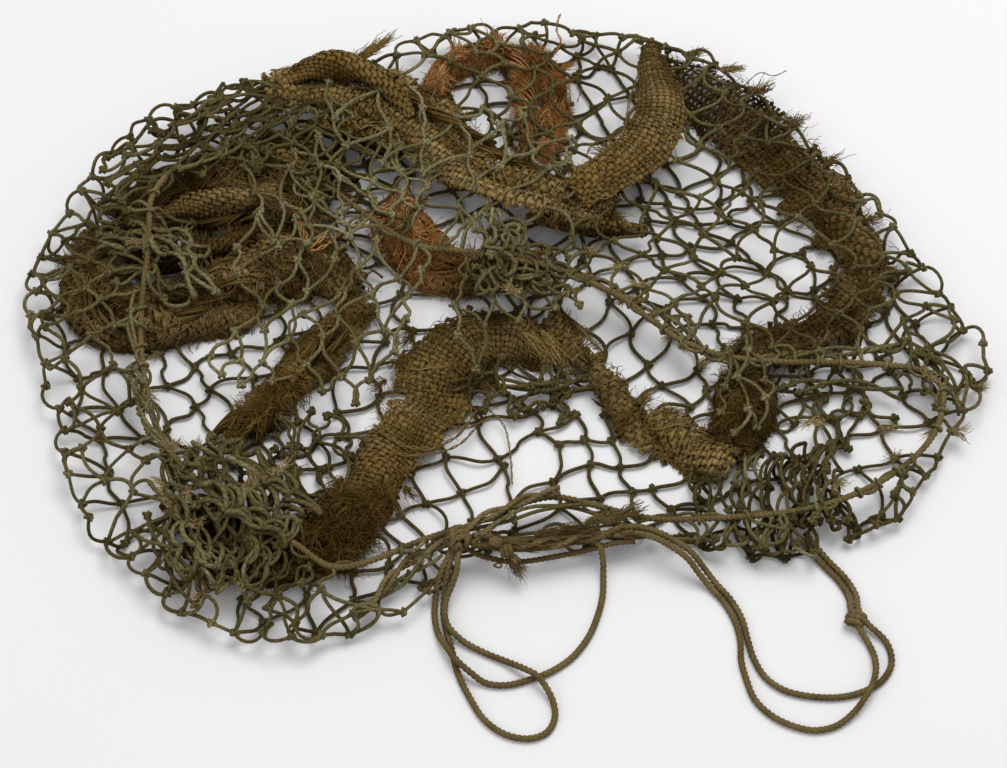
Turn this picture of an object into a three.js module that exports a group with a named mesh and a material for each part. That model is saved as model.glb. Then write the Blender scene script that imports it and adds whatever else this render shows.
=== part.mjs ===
// Helmet net: a knotted cord bag, collapsed flat with its mouth upwards, with scrim
// strips threaded through it and a draw cord round the mouth. Millimetres, +Z up.
// The net lies on z = 0, +X is its long way and -Y is the side of the free cord loops.
import * as THREE from 'three';

// --- Driving dimensions -------------------------------------------------------------

const NET_SKIN = 1.8; // one layer of mesh, cord and knots together
const SCRIM_THICK = 1.6; // woven strip
const DRAW_CORD = 3.0; // laid draw cord, diameter
const CLEARANCE = 0.4; // between pieces that touch
const FOOT = NET_SKIN + CLEARANCE; // lowest height of a strip that lies in the bag

const STATIONS = 84; // sections round the bag
const GATHERS = 21; // folds that the draw cord makes round the mouth
const GATHER_DEPTH = 1.5; // height of those folds where the bag is highest
const HIGHEST_RIM = 24; // rim height at which the folds reach GATHER_DEPTH
const FLOOR_SHARES = [0.35, 0.7, 1]; // rings of the lower layer, share of the way to the fold
const BEND_ANGLES = [-45, 0, 45]; // rings round the fold, degrees
const UPPER_SHARES = [0, 0.33, 0.67, 1]; // rings of the upper layer, share of the way to the mouth

const SCRIM_ACROSS = [-1, -0.5, 0, 0.5, 1]; // points across a strip, edge to edge
const CORD_SIDES = 8;
const CORD_STEP = 7.5; // between sections of a cord

// The point inside the mouth that every bearing is taken from.
const MIDDLE = new THREE.Vector2(19.8, -56);

// The bag's form by bearing (degrees, anticlockwise from +X): how far the folded rim
// and the mouth's edge lie from MIDDLE, how high the folded rim stands, and how high
// the mouth's edge is.
const FORM = [
  { bearing: 0, rim: 196, mouth: 178, high: 15, lip: 13 },
  { bearing: 7, rim: 204, mouth: 174, high: 16, lip: 14 },
  { bearing: 15, rim: 201, mouth: 106, high: 17, lip: 16 },
  { bearing: 25, rim: 198, mouth: 79, high: 18, lip: 18 },
  { bearing: 40, rim: 200, mouth: 70, high: 18, lip: 20 },
  { bearing: 55, rim: 210, mouth: 70, high: 19, lip: 21 },
  { bearing: 70, rim: 228, mouth: 71, high: 20, lip: 22 },
  { bearing: 85, rim: 233, mouth: 75, high: 20, lip: 22 },
  { bearing: 100, rim: 233, mouth: 80, high: 21, lip: 22 },
  { bearing: 115, rim: 230, mouth: 93, high: 22, lip: 23 },
  { bearing: 127, rim: 246, mouth: 114, high: 24, lip: 24 },
  { bearing: 138, rim: 262, mouth: 176, high: 24, lip: 24 },
  { bearing: 147, rim: 261, mouth: 206, high: 23, lip: 22 },
  { bearing: 157, rim: 258, mouth: 203, high: 22, lip: 20 },
  { bearing: 168, rim: 246, mouth: 193, high: 21, lip: 18 },
  { bearing: 180, rim: 227, mouth: 181, high: 20, lip: 17 },
  { bearing: 192, rim: 218, mouth: 170, high: 19, lip: 17 },
  { bearing: 203, rim: 207, mouth: 158, high: 18, lip: 16 },
  { bearing: 214, rim: 196, mouth: 140, high: 17, lip: 16 },
  { bearing: 225, rim: 172, mouth: 130, high: 15, lip: 15 },
  { bearing: 236, rim: 134, mouth: 104, high: 13, lip: 13 },
  { bearing: 244, rim: 100, mouth: 76, high: 12, lip: 12 },
  { bearing: 255, rim: 86, mouth: 60, high: 12, lip: 12 },
  { bearing: 272, rim: 82, mouth: 52, high: 12, lip: 12 },
  { bearing: 290, rim: 85, mouth: 60, high: 12, lip: 12 },
  { bearing: 305, rim: 94, mouth: 77, high: 12, lip: 12 },
  { bearing: 320, rim: 124, mouth: 99, high: 13, lip: 12 },
  { bearing: 335, rim: 155, mouth: 134, high: 14, lip: 12 },
  { bearing: 348, rim: 178, mouth: 158, high: 14, lip: 13 },
];

// Places where the upper layer is bunched up over knotted tangles.
const HEAPS = [
  { x: -150, y: 70, reach: 42, rise: 7 },
  { x: -125, y: -115, reach: 34, rise: 9 },
  { x: 5, y: 40, reach: 32, rise: 5 },
  { x: 125, y: -100, reach: 36, rise: 3 },
];

// --- Helpers: curves and closed skins ---------------------------------------------

const radians = THREE.MathUtils.degToRad;

/** Smooth value of one column of a table whose rows go right round the circle. */
function aroundTable(rows, column, bearing) {
  const count = rows.length;
  const turned = ((bearing % 360) + 360) % 360;
  let start = count - 1;
  while (start > 0 && rows[start].bearing > turned) start -= 1;
  const at = (index) => {
    const lap = Math.floor(index / count);
    const row = rows[index - lap * count];
    return { bearing: row.bearing + 360 * lap, value: row[column] };
  };
  const [before, from, to, after] = [start - 1, start, start + 1, start + 2].map(at);
  const span = to.bearing - from.bearing;
  const share = (turned - from.bearing) / span;
  const slopeFrom = ((to.value - before.value) / (to.bearing - before.bearing)) * span;
  const slopeTo = ((after.value - from.value) / (after.bearing - from.bearing)) * span;
  const square = share * share;
  const cube = square * share;
  return (
    (2 * cube - 3 * square + 1) * from.value +
    (cube - 2 * square + share) * slopeFrom +
    (3 * square - 2 * cube) * to.value +
    (cube - square) * slopeTo
  );
}

/** Smooth open curve through the points of a table with x, y and z columns. */
function routeCurve(rows) {
  const points = rows.map((row) => new THREE.Vector3(row.x, row.y, row.z));
  return new THREE.CatmullRomCurve3(points, false, 'centripetal');
}

/** Triangles of one closed body, gathered as plain positions. */
class Skin {
  constructor() {
    this.positions = [];
  }

  triangle(a, b, c) {
    this.positions.push(...a.toArray(), ...b.toArray(), ...c.toArray());
  }

  /** Joins two rings of equally many points, each running right round. */
  band(ring, next) {
    ring.forEach((point, index) => {
      const beside = (index + 1) % ring.length;
      this.triangle(point, ring[beside], next[beside]);
      this.triangle(point, next[beside], next[index]);
    });
  }

  /** Closes a ring with a fan round one point. */
  fan(ring, point, flip) {
    ring.forEach((corner, index) => {
      const beside = ring[(index + 1) % ring.length];
      if (flip) this.triangle(beside, corner, point);
      else this.triangle(corner, beside, point);
    });
  }

  /** Closes a flat-sided ring by pairing its first half with its second half. */
  strip(ring, flip) {
    const last = ring.length - 1;
    for (let index = 0; index < ring.length / 2 - 1; index += 1) {
      const corners = [ring[index], ring[index + 1], ring[last - index - 1], ring[last - index]];
      if (flip) corners.reverse();
      this.triangle(corners[0], corners[1], corners[2]);
      this.triangle(corners[0], corners[2], corners[3]);
    }
  }

  geometry() {
    const geometry = new THREE.BufferGeometry();
    geometry.setAttribute('position', new THREE.Float32BufferAttribute(this.positions, 3));
    geometry.computeVertexNormals();
    return geometry;
  }
}

// --- The bag ----------------------------------------------------------------------

/** The bag's form at one bearing, all of FORM's columns. */
function formAt(bearing) {
  const columns = ['rim', 'mouth', 'high', 'lip'];
  return Object.fromEntries(columns.map((column) => [column, aroundTable(FORM, column, bearing)]));
}

/** Point at a bearing and distance from MIDDLE, at a height. */
function placed(bearing, distance, height) {
  const angle = radians(bearing);
  return new THREE.Vector3(
    MIDDLE.x + distance * Math.cos(angle),
    MIDDLE.y + distance * Math.sin(angle),
    height,
  );
}

/** Extra height of the upper layer over the tangles at a place. */
function heapRise(x, y) {
  let rise = 0;
  for (const heap of HEAPS) {
    const away = Math.hypot(x - heap.x, y - heap.y) / heap.reach;
    rise += heap.rise * Math.exp(-away * away);
  }
  return rise;
}

/** Height of the upper layer's top, at a share of the way from the fold to the mouth. */
function upperTop(bearing, share) {
  const form = formAt(bearing);
  const distance = upperDistance(form, share);
  const point = placed(bearing, distance, 0);
  const settled = THREE.MathUtils.smoothstep(share, 0, 1);
  const gather = GATHER_DEPTH * (form.high / HIGHEST_RIM) * share;
  return (
    THREE.MathUtils.lerp(form.high, form.lip, settled) +
    heapRise(point.x, point.y) * Math.min(1, 2 * share) +
    gather * Math.sin(radians(bearing) * GATHERS)
  );
}

/** Distance from MIDDLE of the upper layer, at a share of the way from the fold. */
function upperDistance(form, share) {
  const fold = form.rim - form.high / 2;
  return THREE.MathUtils.lerp(fold, form.mouth, share);
}

/** The outer half of the bag's section, from the lower layer round the fold to the mouth. */
function outerSection(bearing, inset) {
  const form = formAt(bearing);
  const bend = form.high / 2;
  const fold = form.rim - bend;
  const floor = FLOOR_SHARES.map((share) => placed(bearing, fold * share, inset));
  const round = BEND_ANGLES.map((degrees) => {
    const reach = bend - inset;
    const angle = radians(degrees);
    return placed(bearing, fold + reach * Math.cos(angle), bend + reach * Math.sin(angle));
  });
  const upper = UPPER_SHARES.map((share) =>
    placed(bearing, upperDistance(form, share), upperTop(bearing, share) - inset),
  );
  return [...floor, ...round, ...upper];
}

/** The net: lower layer, folded rim and upper layer up to the mouth, one skin. */
function netGeometry() {
  const bearings = Array.from({ length: STATIONS }, (_, index) => (360 * index) / STATIONS);
  const outer = bearings.map((bearing) => outerSection(bearing, 0));
  const inner = bearings.map((bearing) => outerSection(bearing, NET_SKIN));
  const sections = outer.map((points, index) => [...points, ...inner[index].reverse()]);
  const rings = sections[0].map((_, depth) => sections.map((section) => section[depth]));
  const skin = new Skin();
  for (let index = 0; index < rings.length - 1; index += 1) skin.band(rings[index], rings[index + 1]);
  skin.fan(rings[0], placed(0, 0, 0), true);
  skin.fan(rings[rings.length - 1], placed(0, 0, NET_SKIN), false);
  return skin.geometry();
}

/** Height of the upper layer's top under a place in plan. */
function restOnNet(x, y) {
  const bearing = THREE.MathUtils.radToDeg(Math.atan2(y - MIDDLE.y, x - MIDDLE.x));
  const form = formAt(bearing);
  const fold = form.rim - form.high / 2;
  const away = Math.hypot(x - MIDDLE.x, y - MIDDLE.y);
  const share = THREE.MathUtils.clamp((fold - away) / (fold - form.mouth), 0, 1);
  return upperTop(bearing, share);
}

// --- Scrim strips -----------------------------------------------------------------

// What a strip lies on: the bag's floor, the top of its upper layer, or close beneath that.
const LEVELS = {
  floor: () => 0,
  on: restOnNet,
  beneath: (x, y) => restOnNet(x, y) - NET_SKIN,
};

/**
 * A strip of scrim along a table of stations: x and y of its middle, foot (height of
 * its lowest edge), width, tilt (degrees about its length) and arch (rise of its
 * middle). Foot is taken from `level(x, y)`, the height of what the strip lies on.
 */
function stripGeometry(rows, steps, level) {
  const columns = ['foot', 'width', 'tilt', 'arch'];
  const curve = routeCurve(rows.map((row) => ({ x: row.x, y: row.y, z: 0 })));
  const column = (name, share) => {
    const place = share * (rows.length - 1);
    const low = Math.min(Math.floor(place), rows.length - 2);
    const blend = THREE.MathUtils.smoothstep(place - low, 0, 1);
    return THREE.MathUtils.lerp(rows[low][name], rows[low + 1][name], blend);
  };
  const rings = [];
  for (let step = 0; step <= steps; step += 1) {
    const share = step / steps;
    const middle = curve.getPoint(share);
    const along = curve.getTangent(share);
    const [foot, width, tilt, arch] = columns.map((name) => column(name, share));
    const lean = radians(tilt);
    const across = new THREE.Vector3(-along.y, along.x, 0).normalize();
    const face = new THREE.Vector3(0, 0, 1).applyAxisAngle(along, lean);
    across.applyAxisAngle(along, lean);
    middle.z = foot + (width / 2) * Math.abs(Math.sin(lean)) + SCRIM_THICK / 2;
    const row = (side) =>
      SCRIM_ACROSS.map((share2) => {
        const rise = arch * (1 - share2 * share2) + (side * SCRIM_THICK) / 2;
        const point = middle.clone();
        point.addScaledVector(across, (share2 * width) / 2);
        point.addScaledVector(face, rise);
        point.z += level(point.x, point.y);
        return point;
      });
    rings.push([...row(-1), ...row(1).reverse()]);
  }
  const skin = new Skin();
  for (let step = 0; step < steps; step += 1) skin.band(rings[step], rings[step + 1]);
  skin.strip(rings[0], true);
  skin.strip(rings[steps], false);
  return skin.geometry();
}

const SCRIM = [
  {
    name: 'scrim_back_khaki',
    finish: 'khaki',
    steps: 18,
    lies: 'beneath',
    rows: [
      { x: -112, y: 118, foot: -5.5, width: 20, tilt: 0, arch: 2 },
      { x: -96, y: 127, foot: -5, width: 22, tilt: 0, arch: 2 },
      { x: -70, y: 124, foot: -5, width: 23, tilt: 2, arch: 2 },
      { x: -48, y: 108, foot: -5.5, width: 24, tilt: 4, arch: 1.5 },
      { x: -26, y: 86, foot: -6, width: 25, tilt: 4, arch: 1.5 },
      { x: -2, y: 69, foot: -5.5, width: 25, tilt: 2, arch: 2 },
      { x: 26, y: 60, foot: -5, width: 24, tilt: 0, arch: 2 },
      { x: 50, y: 53, foot: -5, width: 20, tilt: 0, arch: 2 },
    ],
  },
  {
    name: 'scrim_back_woven',
    finish: 'khaki',
    steps: 16,
    lies: 'on',
    rows: [
      { x: 73, y: 152, foot: 1, width: 8, tilt: 0, arch: 0 },
      { x: 73, y: 138, foot: 1, width: 15, tilt: 0, arch: 1 },
      { x: 76, y: 118, foot: 1, width: 23, tilt: -6, arch: 1.5 },
      { x: 73, y: 99, foot: 1, width: 25, tilt: -8, arch: 2 },
      { x: 63, y: 81, foot: 1, width: 25, tilt: -6, arch: 2 },
      { x: 46, y: 68, foot: 1, width: 22, tilt: -4, arch: 2 },
    ],
  },
  {
    name: 'scrim_right_open',
    finish: 'dark',
    steps: 24,
    rows: [
      { x: 80, y: 138, foot: FOOT, width: 26, tilt: 4, arch: 2 },
      { x: 95, y: 128, foot: FOOT, width: 38, tilt: 6, arch: 2 },
      { x: 114, y: 112, foot: FOOT, width: 38, tilt: 8, arch: 2 },
      { x: 131, y: 92, foot: FOOT, width: 36, tilt: 8, arch: 2 },
      { x: 146, y: 72, foot: FOOT, width: 33, tilt: 8, arch: 2 },
      { x: 159, y: 55, foot: FOOT, width: 28, tilt: 8, arch: 3 },
      { x: 169, y: 38, foot: FOOT, width: 26, tilt: 6, arch: 3 },
      { x: 172, y: 20, foot: FOOT, width: 24, tilt: 0, arch: 3 },
      { x: 164, y: 4, foot: FOOT, width: 23, tilt: -6, arch: 3 },
      { x: 148, y: -8, foot: FOOT, width: 21, tilt: -8, arch: 3 },
      { x: 128, y: -14, foot: FOOT, width: 18, tilt: -8, arch: 3 },
      { x: 112, y: -16, foot: FOOT, width: 14, tilt: 0, arch: 3 },
    ],
  },
  {
    name: 'scrim_middle_twisted',
    finish: 'khaki',
    steps: 18,
    rows: [
      { x: 34, y: 2, foot: FOOT, width: 10, tilt: 20, arch: 2 },
      { x: 39, y: -12, foot: FOOT, width: 12, tilt: 35, arch: 2 },
      { x: 43, y: -26, foot: FOOT, width: 13, tilt: 45, arch: 2 },
      { x: 49, y: -42, foot: FOOT, width: 15, tilt: 35, arch: 2 },
      { x: 58, y: -54, foot: FOOT, width: 20, tilt: 18, arch: 2 },
      { x: 74, y: -66, foot: FOOT, width: 26, tilt: 6, arch: 2 },
      { x: 90, y: -76, foot: FOOT, width: 25, tilt: 0, arch: 2 },
      { x: 104, y: -82, foot: FOOT, width: 22, tilt: 0, arch: 2 },
    ],
  },
  {
    name: 'scrim_right_lump',
    finish: 'khaki',
    steps: 12,
    rows: [
      { x: 96, y: -34, foot: FOOT, width: 16, tilt: 0, arch: 4 },
      { x: 108, y: -42, foot: FOOT, width: 22, tilt: 8, arch: 5 },
      { x: 118, y: -54, foot: FOOT, width: 22, tilt: 10, arch: 5 },
      { x: 126, y: -67, foot: FOOT, width: 18, tilt: 8, arch: 4 },
    ],
  },
  {
    name: 'scrim_left_woven',
    finish: 'khaki',
    steps: 24,
    rows: [
      { x: 20, y: -20, foot: FOOT, width: 20, tilt: 0, arch: 2 },
      { x: 4, y: -10, foot: FOOT, width: 27, tilt: -6, arch: 2.5 },
      { x: -16, y: -12, foot: FOOT, width: 31, tilt: -8, arch: 3 },
      { x: -30, y: -30, foot: FOOT, width: 32, tilt: -4, arch: 2.5 },
      { x: -34, y: -48, foot: FOOT, width: 33, tilt: 0, arch: 2 },
      { x: -44, y: -65, foot: FOOT, width: 32, tilt: 6, arch: 2.5 },
      { x: -55, y: -84, foot: FOOT, width: 29, tilt: 8, arch: 3 },
      { x: -64, y: -103, foot: FOOT, width: 28, tilt: 4, arch: 3 },
      { x: -76, y: -119, foot: FOOT, width: 31, tilt: 0, arch: 3 },
      { x: -92, y: -130, foot: FOOT, width: 30, tilt: -4, arch: 3 },
    ],
  },
  {
    name: 'scrim_left_frayed',
    finish: 'dark',
    steps: 16,
    rows: [
      { x: -66, y: 2, foot: FOOT, width: 14, tilt: 0, arch: 2 },
      { x: -77, y: -11, foot: FOOT, width: 20, tilt: -8, arch: 3 },
      { x: -92, y: -24, foot: FOOT, width: 22, tilt: -10, arch: 3 },
      { x: -103, y: -39, foot: FOOT, width: 20, tilt: -6, arch: 3 },
      { x: -114, y: -55, foot: FOOT, width: 22, tilt: 0, arch: 3 },
      { x: -129, y: -70, foot: FOOT, width: 24, tilt: 6, arch: 2 },
    ],
  },
  {
    name: 'scrim_far_left_low',
    finish: 'dark',
    steps: 22,
    rows: [
      { x: -190, y: 40, foot: FOOT, width: 22, tilt: 6, arch: 3 },
      { x: -196, y: 20, foot: FOOT, width: 24, tilt: 12, arch: 3 },
      { x: -186, y: -1, foot: FOOT, width: 26, tilt: 14, arch: 4 },
      { x: -164, y: -5, foot: FOOT, width: 26, tilt: 10, arch: 4 },
      { x: -140, y: 4, foot: FOOT, width: 26, tilt: 8, arch: 4 },
      { x: -116, y: 17, foot: FOOT, width: 28, tilt: 6, arch: 4 },
      { x: -92, y: 22, foot: FOOT, width: 28, tilt: 4, arch: 3 },
      { x: -74, y: 17, foot: FOOT, width: 22, tilt: 0, arch: 2 },
    ],
  },
  {
    name: 'scrim_far_left_high',
    finish: 'dark',
    steps: 18,
    rows: [
      { x: -176, y: 62, foot: FOOT, width: 24, tilt: 0, arch: 3 },
      { x: -156, y: 70, foot: FOOT, width: 34, tilt: 6, arch: 4 },
      { x: -132, y: 72, foot: FOOT, width: 38, tilt: 8, arch: 5 },
      { x: -108, y: 66, foot: FOOT, width: 36, tilt: 6, arch: 5 },
      { x: -86, y: 60, foot: FOOT, width: 28, tilt: 0, arch: 3 },
    ],
  },
  {
    name: 'scrim_back_rust',
    finish: 'rust',
    steps: 22,
    rows: [
      { x: -30, y: 126, foot: FOOT, width: 12, tilt: 0, arch: 2 },
      { x: -32, y: 139, foot: FOOT, width: 13, tilt: 0, arch: 3 },
      { x: -25, y: 151, foot: FOOT, width: 14, tilt: 0, arch: 3 },
      { x: -9, y: 157, foot: FOOT, width: 14, tilt: 0, arch: 3 },
      { x: 9, y: 156, foot: FOOT, width: 14, tilt: 0, arch: 3 },
      { x: 22, y: 149, foot: FOOT, width: 15, tilt: 0, arch: 3 },
      { x: 29, y: 136, foot: FOOT, width: 15, tilt: 0, arch: 3 },
      { x: 28, y: 120, foot: FOOT, width: 16, tilt: 0, arch: 3 },
      { x: 24, y: 102, foot: FOOT, width: 15, tilt: 0, arch: 2 },
    ],
  },
  {
    name: 'scrim_middle_rust',
    finish: 'rust',
    steps: 16,
    rows: [
      { x: -48, y: 68, foot: FOOT, width: 17, tilt: 0, arch: 3 },
      { x: -45, y: 50, foot: FOOT, width: 21, tilt: 6, arch: 4 },
      { x: -38, y: 33, foot: FOOT, width: 21, tilt: 8, arch: 4 },
      { x: -22, y: 24, foot: FOOT, width: 21, tilt: 6, arch: 4 },
      { x: -2, y: 27, foot: FOOT, width: 22, tilt: 0, arch: 4 },
      { x: 18, y: 26, foot: FOOT, width: 18, tilt: 0, arch: 3 },
    ],
  },
];

// --- Draw cord and its loops --------------------------------------------------------

/** A cord of DRAW_CORD's diameter along a curve, with flat ends. */
function cordGeometry(curve, length, width = DRAW_CORD, height = DRAW_CORD) {
  const corners = Array.from({ length: CORD_SIDES }, (_, index) => {
    const angle = radians((360 * (index + 0.5)) / CORD_SIDES);
    return new THREE.Vector2((height / 2) * Math.cos(angle), (width / 2) * Math.sin(angle));
  });
  return new THREE.ExtrudeGeometry(new THREE.Shape(corners), {
    steps: Math.round(length / CORD_STEP),
    bevelEnabled: false,
    extrudePath: curve,
  });
}

const KNOT = { x: -20, y: -130, z: 18.1, wide: 13, deep: 11, high: 10 };
const END_KNOT = { x: 153.5, y: -162.5, z: 4.1, wide: 11, deep: 8.5, high: 7.4 };
const KNOT_TURNS = 3; // bulges of the wrapped cord round a knot
const KNOT_BULGE = 0.06;
const RING_INSET = DRAW_CORD / 2 + CLEARANCE + 2.4; // from the mouth's edge to the ring's middle
const RING_GAP = 5.6; // bearing left free for the knot on each side, degrees
const RING_CLIMB = 18; // bearing over which the ring climbs to the knot's height, degrees
const RING_TURN = 11; // bearing over which it turns out over the mouth's edge, degrees
const RING_POINTS = 96;

/** The draw cord's ring: just inside the mouth's edge, from one side of the knot to the other. */
function ringCurve() {
  const knotBearing = THREE.MathUtils.radToDeg(Math.atan2(KNOT.y - MIDDLE.y, KNOT.x - MIDDLE.x));
  const knotDistance = Math.hypot(KNOT.x - MIDDLE.x, KNOT.y - MIDDLE.y);
  const span = 360 - 2 * RING_GAP;
  const points = [];
  for (let index = 0; index <= RING_POINTS; index += 1) {
    const turned = RING_GAP + (span * index) / RING_POINTS;
    const bearing = knotBearing + turned;
    const form = formAt(bearing);
    const edge = placed(bearing, form.mouth, 0);
    const ahead = placed(bearing + 1, formAt(bearing + 1).mouth, 0);
    const behind = placed(bearing - 1, formAt(bearing - 1).mouth, 0);
    const along = ahead.sub(behind).normalize();
    const inward = new THREE.Vector3(-along.y, along.x, 0);
    const nearest = Math.min(turned, 360 - turned) - RING_GAP;
    const climb = 1 - THREE.MathUtils.smoothstep(nearest, 0, RING_CLIMB);
    const turn = 1 - THREE.MathUtils.smoothstep(nearest, 0, RING_TURN);
    const edgeHeight = form.lip + heapRise(edge.x, edge.y) - NET_SKIN / 2;
    const point = edge.addScaledVector(inward, RING_INSET);
    point.lerp(placed(bearing, knotDistance, 0), turn);
    point.z = THREE.MathUtils.lerp(edgeHeight, KNOT.z, climb);
    points.push(point);
  }
  return new THREE.CatmullRomCurve3(points, false, 'centripetal');
}

/** A knot: an egg with the bulges of its wrapped turns. */
function knotGeometry(knot) {
  const geometry = new THREE.SphereGeometry(0.5, 14, 8);
  const position = geometry.attributes.position;
  for (let index = 0; index < position.count; index += 1) {
    const point = new THREE.Vector3().fromBufferAttribute(position, index);
    const turn = Math.atan2(point.y, point.x);
    const bulge = 1 + KNOT_BULGE * Math.sin(KNOT_TURNS * turn) * Math.hypot(point.x, point.y) * 2;
    position.setXYZ(index, point.x * bulge, point.y * bulge, point.z);
  }
  geometry.scale(knot.wide, knot.deep, knot.high);
  geometry.translate(knot.x, knot.y, knot.z);
  return geometry;
}

const BUNDLE = {
  width: 7,
  height: 5,
  rows: [
    { x: -1, y: -131, z: 15.4 },
    { x: 8, y: -131.5, z: 15.4 },
    { x: 20, y: -130.5, z: 15.4 },
    { x: 32, y: -128, z: 15.4 },
    { x: 44, y: -125, z: 15.4 },
    { x: 52, y: -123.5, z: 15.4 },
  ],
};

const LOOSE_CORDS = [
  {
    name: 'loop_left_outer',
    rows: [
      { x: 42, y: -137.1, z: 3 },
      { x: 43, y: -150, z: 1.6 },
      { x: 41, y: -160, z: 1.6 },
      { x: 37, y: -170, z: 1.6 },
      { x: 30, y: -180, z: 1.6 },
      { x: 21, y: -187, z: 1.6 },
      { x: 12, y: -191, z: 1.6 },
      { x: 1, y: -194, z: 1.6 },
      { x: -8, y: -193, z: 2 },
      { x: -14, y: -189.5, z: 4.4 },
      { x: -20, y: -184, z: 5.5 },
      { x: -25, y: -176, z: 4.2 },
      { x: -28.5, y: -168, z: 2 },
      { x: -30, y: -160, z: 1.6 },
      { x: -30, y: -154, z: 1.6 },
    ],
  },
  {
    name: 'loop_left_inner',
    rows: [
      { x: -19.6, y: -136.4, z: 17 },
      { x: -19, y: -143, z: 14 },
      { x: -20, y: -148, z: 8.5 },
      { x: -22, y: -153, z: 3.6 },
      { x: -22.5, y: -159, z: 1.7 },
      { x: -21, y: -166, z: 1.6 },
      { x: -16, y: -173, z: 1.6 },
      { x: -8, y: -178, z: 1.6 },
      { x: 2, y: -183, z: 2.4 },
      { x: 9, y: -187.5, z: 4.6 },
      { x: 14, y: -191, z: 5.5 },
      { x: 18, y: -196, z: 4.6 },
      { x: 21.5, y: -203, z: 2 },
      { x: 22, y: -210, z: 1.6 },
      { x: 18.5, y: -217, z: 1.6 },
      { x: 11, y: -220, z: 1.6 },
      { x: 1, y: -218, z: 1.6 },
      { x: -8, y: -211, z: 1.6 },
      { x: -15, y: -199, z: 1.6 },
      { x: -20, y: -187, z: 1.6 },
      { x: -22.5, y: -176, z: 1.6 },
      { x: -25, y: -166, z: 1.6 },
      { x: -26.2, y: -158, z: 1.6 },
      { x: -26, y: -152, z: 1.6 },
    ],
  },
  {
    name: 'loop_right_upper',
    rows: [
      { x: 57.8, y: -120.8, z: 14.8 },
      { x: 66, y: -123.5, z: 14.8 },
      { x: 74, y: -128, z: 15 },
      { x: 82, y: -133, z: 12.8 },
      { x: 88, y: -138, z: 7 },
      { x: 93, y: -143, z: 3 },
      { x: 99.6, y: -151, z: 1.6 },
      { x: 104.2, y: -161, z: 1.6 },
      { x: 106.2, y: -171, z: 1.6 },
      { x: 108.5, y: -181, z: 1.6 },
      { x: 113, y: -190, z: 1.6 },
      { x: 120, y: -196, z: 1.6 },
      { x: 129, y: -199, z: 1.6 },
      { x: 143, y: -200, z: 1.6 },
      { x: 154, y: -197.5, z: 1.6 },
      { x: 163, y: -192, z: 1.6 },
      { x: 168, y: -183, z: 1.6 },
      { x: 166.5, y: -173, z: 1.8 },
      { x: 158.9, y: -164.8, z: 3.6 },
    ],
  },
  {
    name: 'loop_right_lower',
    rows: [
      { x: 55.6, y: -124.6, z: 14.8 },
      { x: 63.4, y: -127, z: 14.8 },
      { x: 71.6, y: -131.6, z: 13.8 },
      { x: 79.5, y: -136.6, z: 9.4 },
      { x: 85.4, y: -141.4, z: 4.8 },
      { x: 90, y: -146, z: 2.2 },
      { x: 96.2, y: -153.4, z: 1.6 },
      { x: 100.6, y: -162.4, z: 1.6 },
      { x: 102.4, y: -172, z: 1.6 },
      { x: 103, y: -182, z: 1.6 },
      { x: 105, y: -192, z: 1.6 },
      { x: 108, y: -201, z: 1.6 },
      { x: 115, y: -209, z: 1.6 },
      { x: 124, y: -214, z: 1.6 },
      { x: 133, y: -216, z: 1.6 },
      { x: 142, y: -214, z: 1.8 },
      { x: 150, y: -208, z: 3 },
      { x: 155.5, y: -201, z: 4.9 },
      { x: 158.8, y: -195, z: 5.3 },
      { x: 160.6, y: -188, z: 4.7 },
      { x: 160.6, y: -180, z: 2.6 },
      { x: 158.6, y: -173.4, z: 2 },
      { x: 155.3, y: -167.6, z: 3.4 },
    ],
  },
  {
    name: 'loop_right_neck_a',
    rows: [
      { x: 155, y: -158, z: 3.6 },
      { x: 154.8, y: -149, z: 1.7 },
      { x: 150.6, y: -140, z: 1.6 },
      { x: 143.5, y: -131, z: 1.8 },
    ],
  },
  {
    name: 'loop_right_neck_b',
    rows: [
      { x: 151.4, y: -158, z: 3.6 },
      { x: 151, y: -150, z: 1.7 },
      { x: 147.2, y: -142, z: 1.6 },
      { x: 140, y: -133.6, z: 1.8 },
    ],
  },
];

// --- Assembly -----------------------------------------------------------------------

const FINISHES = {
  net: { color: 0x6b6347, roughness: 0.9, metalness: 0 },
  khaki: { color: 0x68543a, roughness: 0.95, metalness: 0 },
  dark: { color: 0x453726, roughness: 0.95, metalness: 0 },
  rust: { color: 0x8a5632, roughness: 0.95, metalness: 0 },
  cord: { color: 0x6f5b3a, roughness: 0.85, metalness: 0 },
};

/** A named mesh with a material of its own. */
function piece(name, geometry, finish) {
  const mesh = new THREE.Mesh(geometry, new THREE.MeshStandardMaterial(FINISHES[finish]));
  mesh.name = name;
  return mesh;
}

const helmetNet = new THREE.Group();
helmetNet.add(piece('net', netGeometry(), 'net'));
for (const strip of SCRIM) {
  const level = LEVELS[strip.lies ?? 'floor'];
  helmetNet.add(piece(strip.name, stripGeometry(strip.rows, strip.steps, level), strip.finish));
}
const ring = ringCurve();
helmetNet.add(piece('draw_cord', cordGeometry(ring, ring.getLength()), 'cord'));
helmetNet.add(piece('draw_cord_knot', knotGeometry(KNOT), 'cord'));
const bundle = routeCurve(BUNDLE.rows);
const bundleShape = cordGeometry(bundle, bundle.getLength(), BUNDLE.width, BUNDLE.height);
helmetNet.add(piece('draw_cord_bundle', bundleShape, 'cord'));
for (const cord of LOOSE_CORDS) {
  const route = routeCurve(cord.rows);
  helmetNet.add(piece(cord.name, cordGeometry(route, route.getLength()), 'cord'));
}
helmetNet.add(piece('loop_right_knot', knotGeometry(END_KNOT), 'cord'));

export default helmetNet;
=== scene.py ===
"""Helmet net: a knotted cord bag with frayed scrim strips and a laid draw cord.

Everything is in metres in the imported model's frame: the net lies on z = 0, +X is its
long way and -Y is the side of the loose cord loops. Tables hold mm and degrees.
"""

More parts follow.
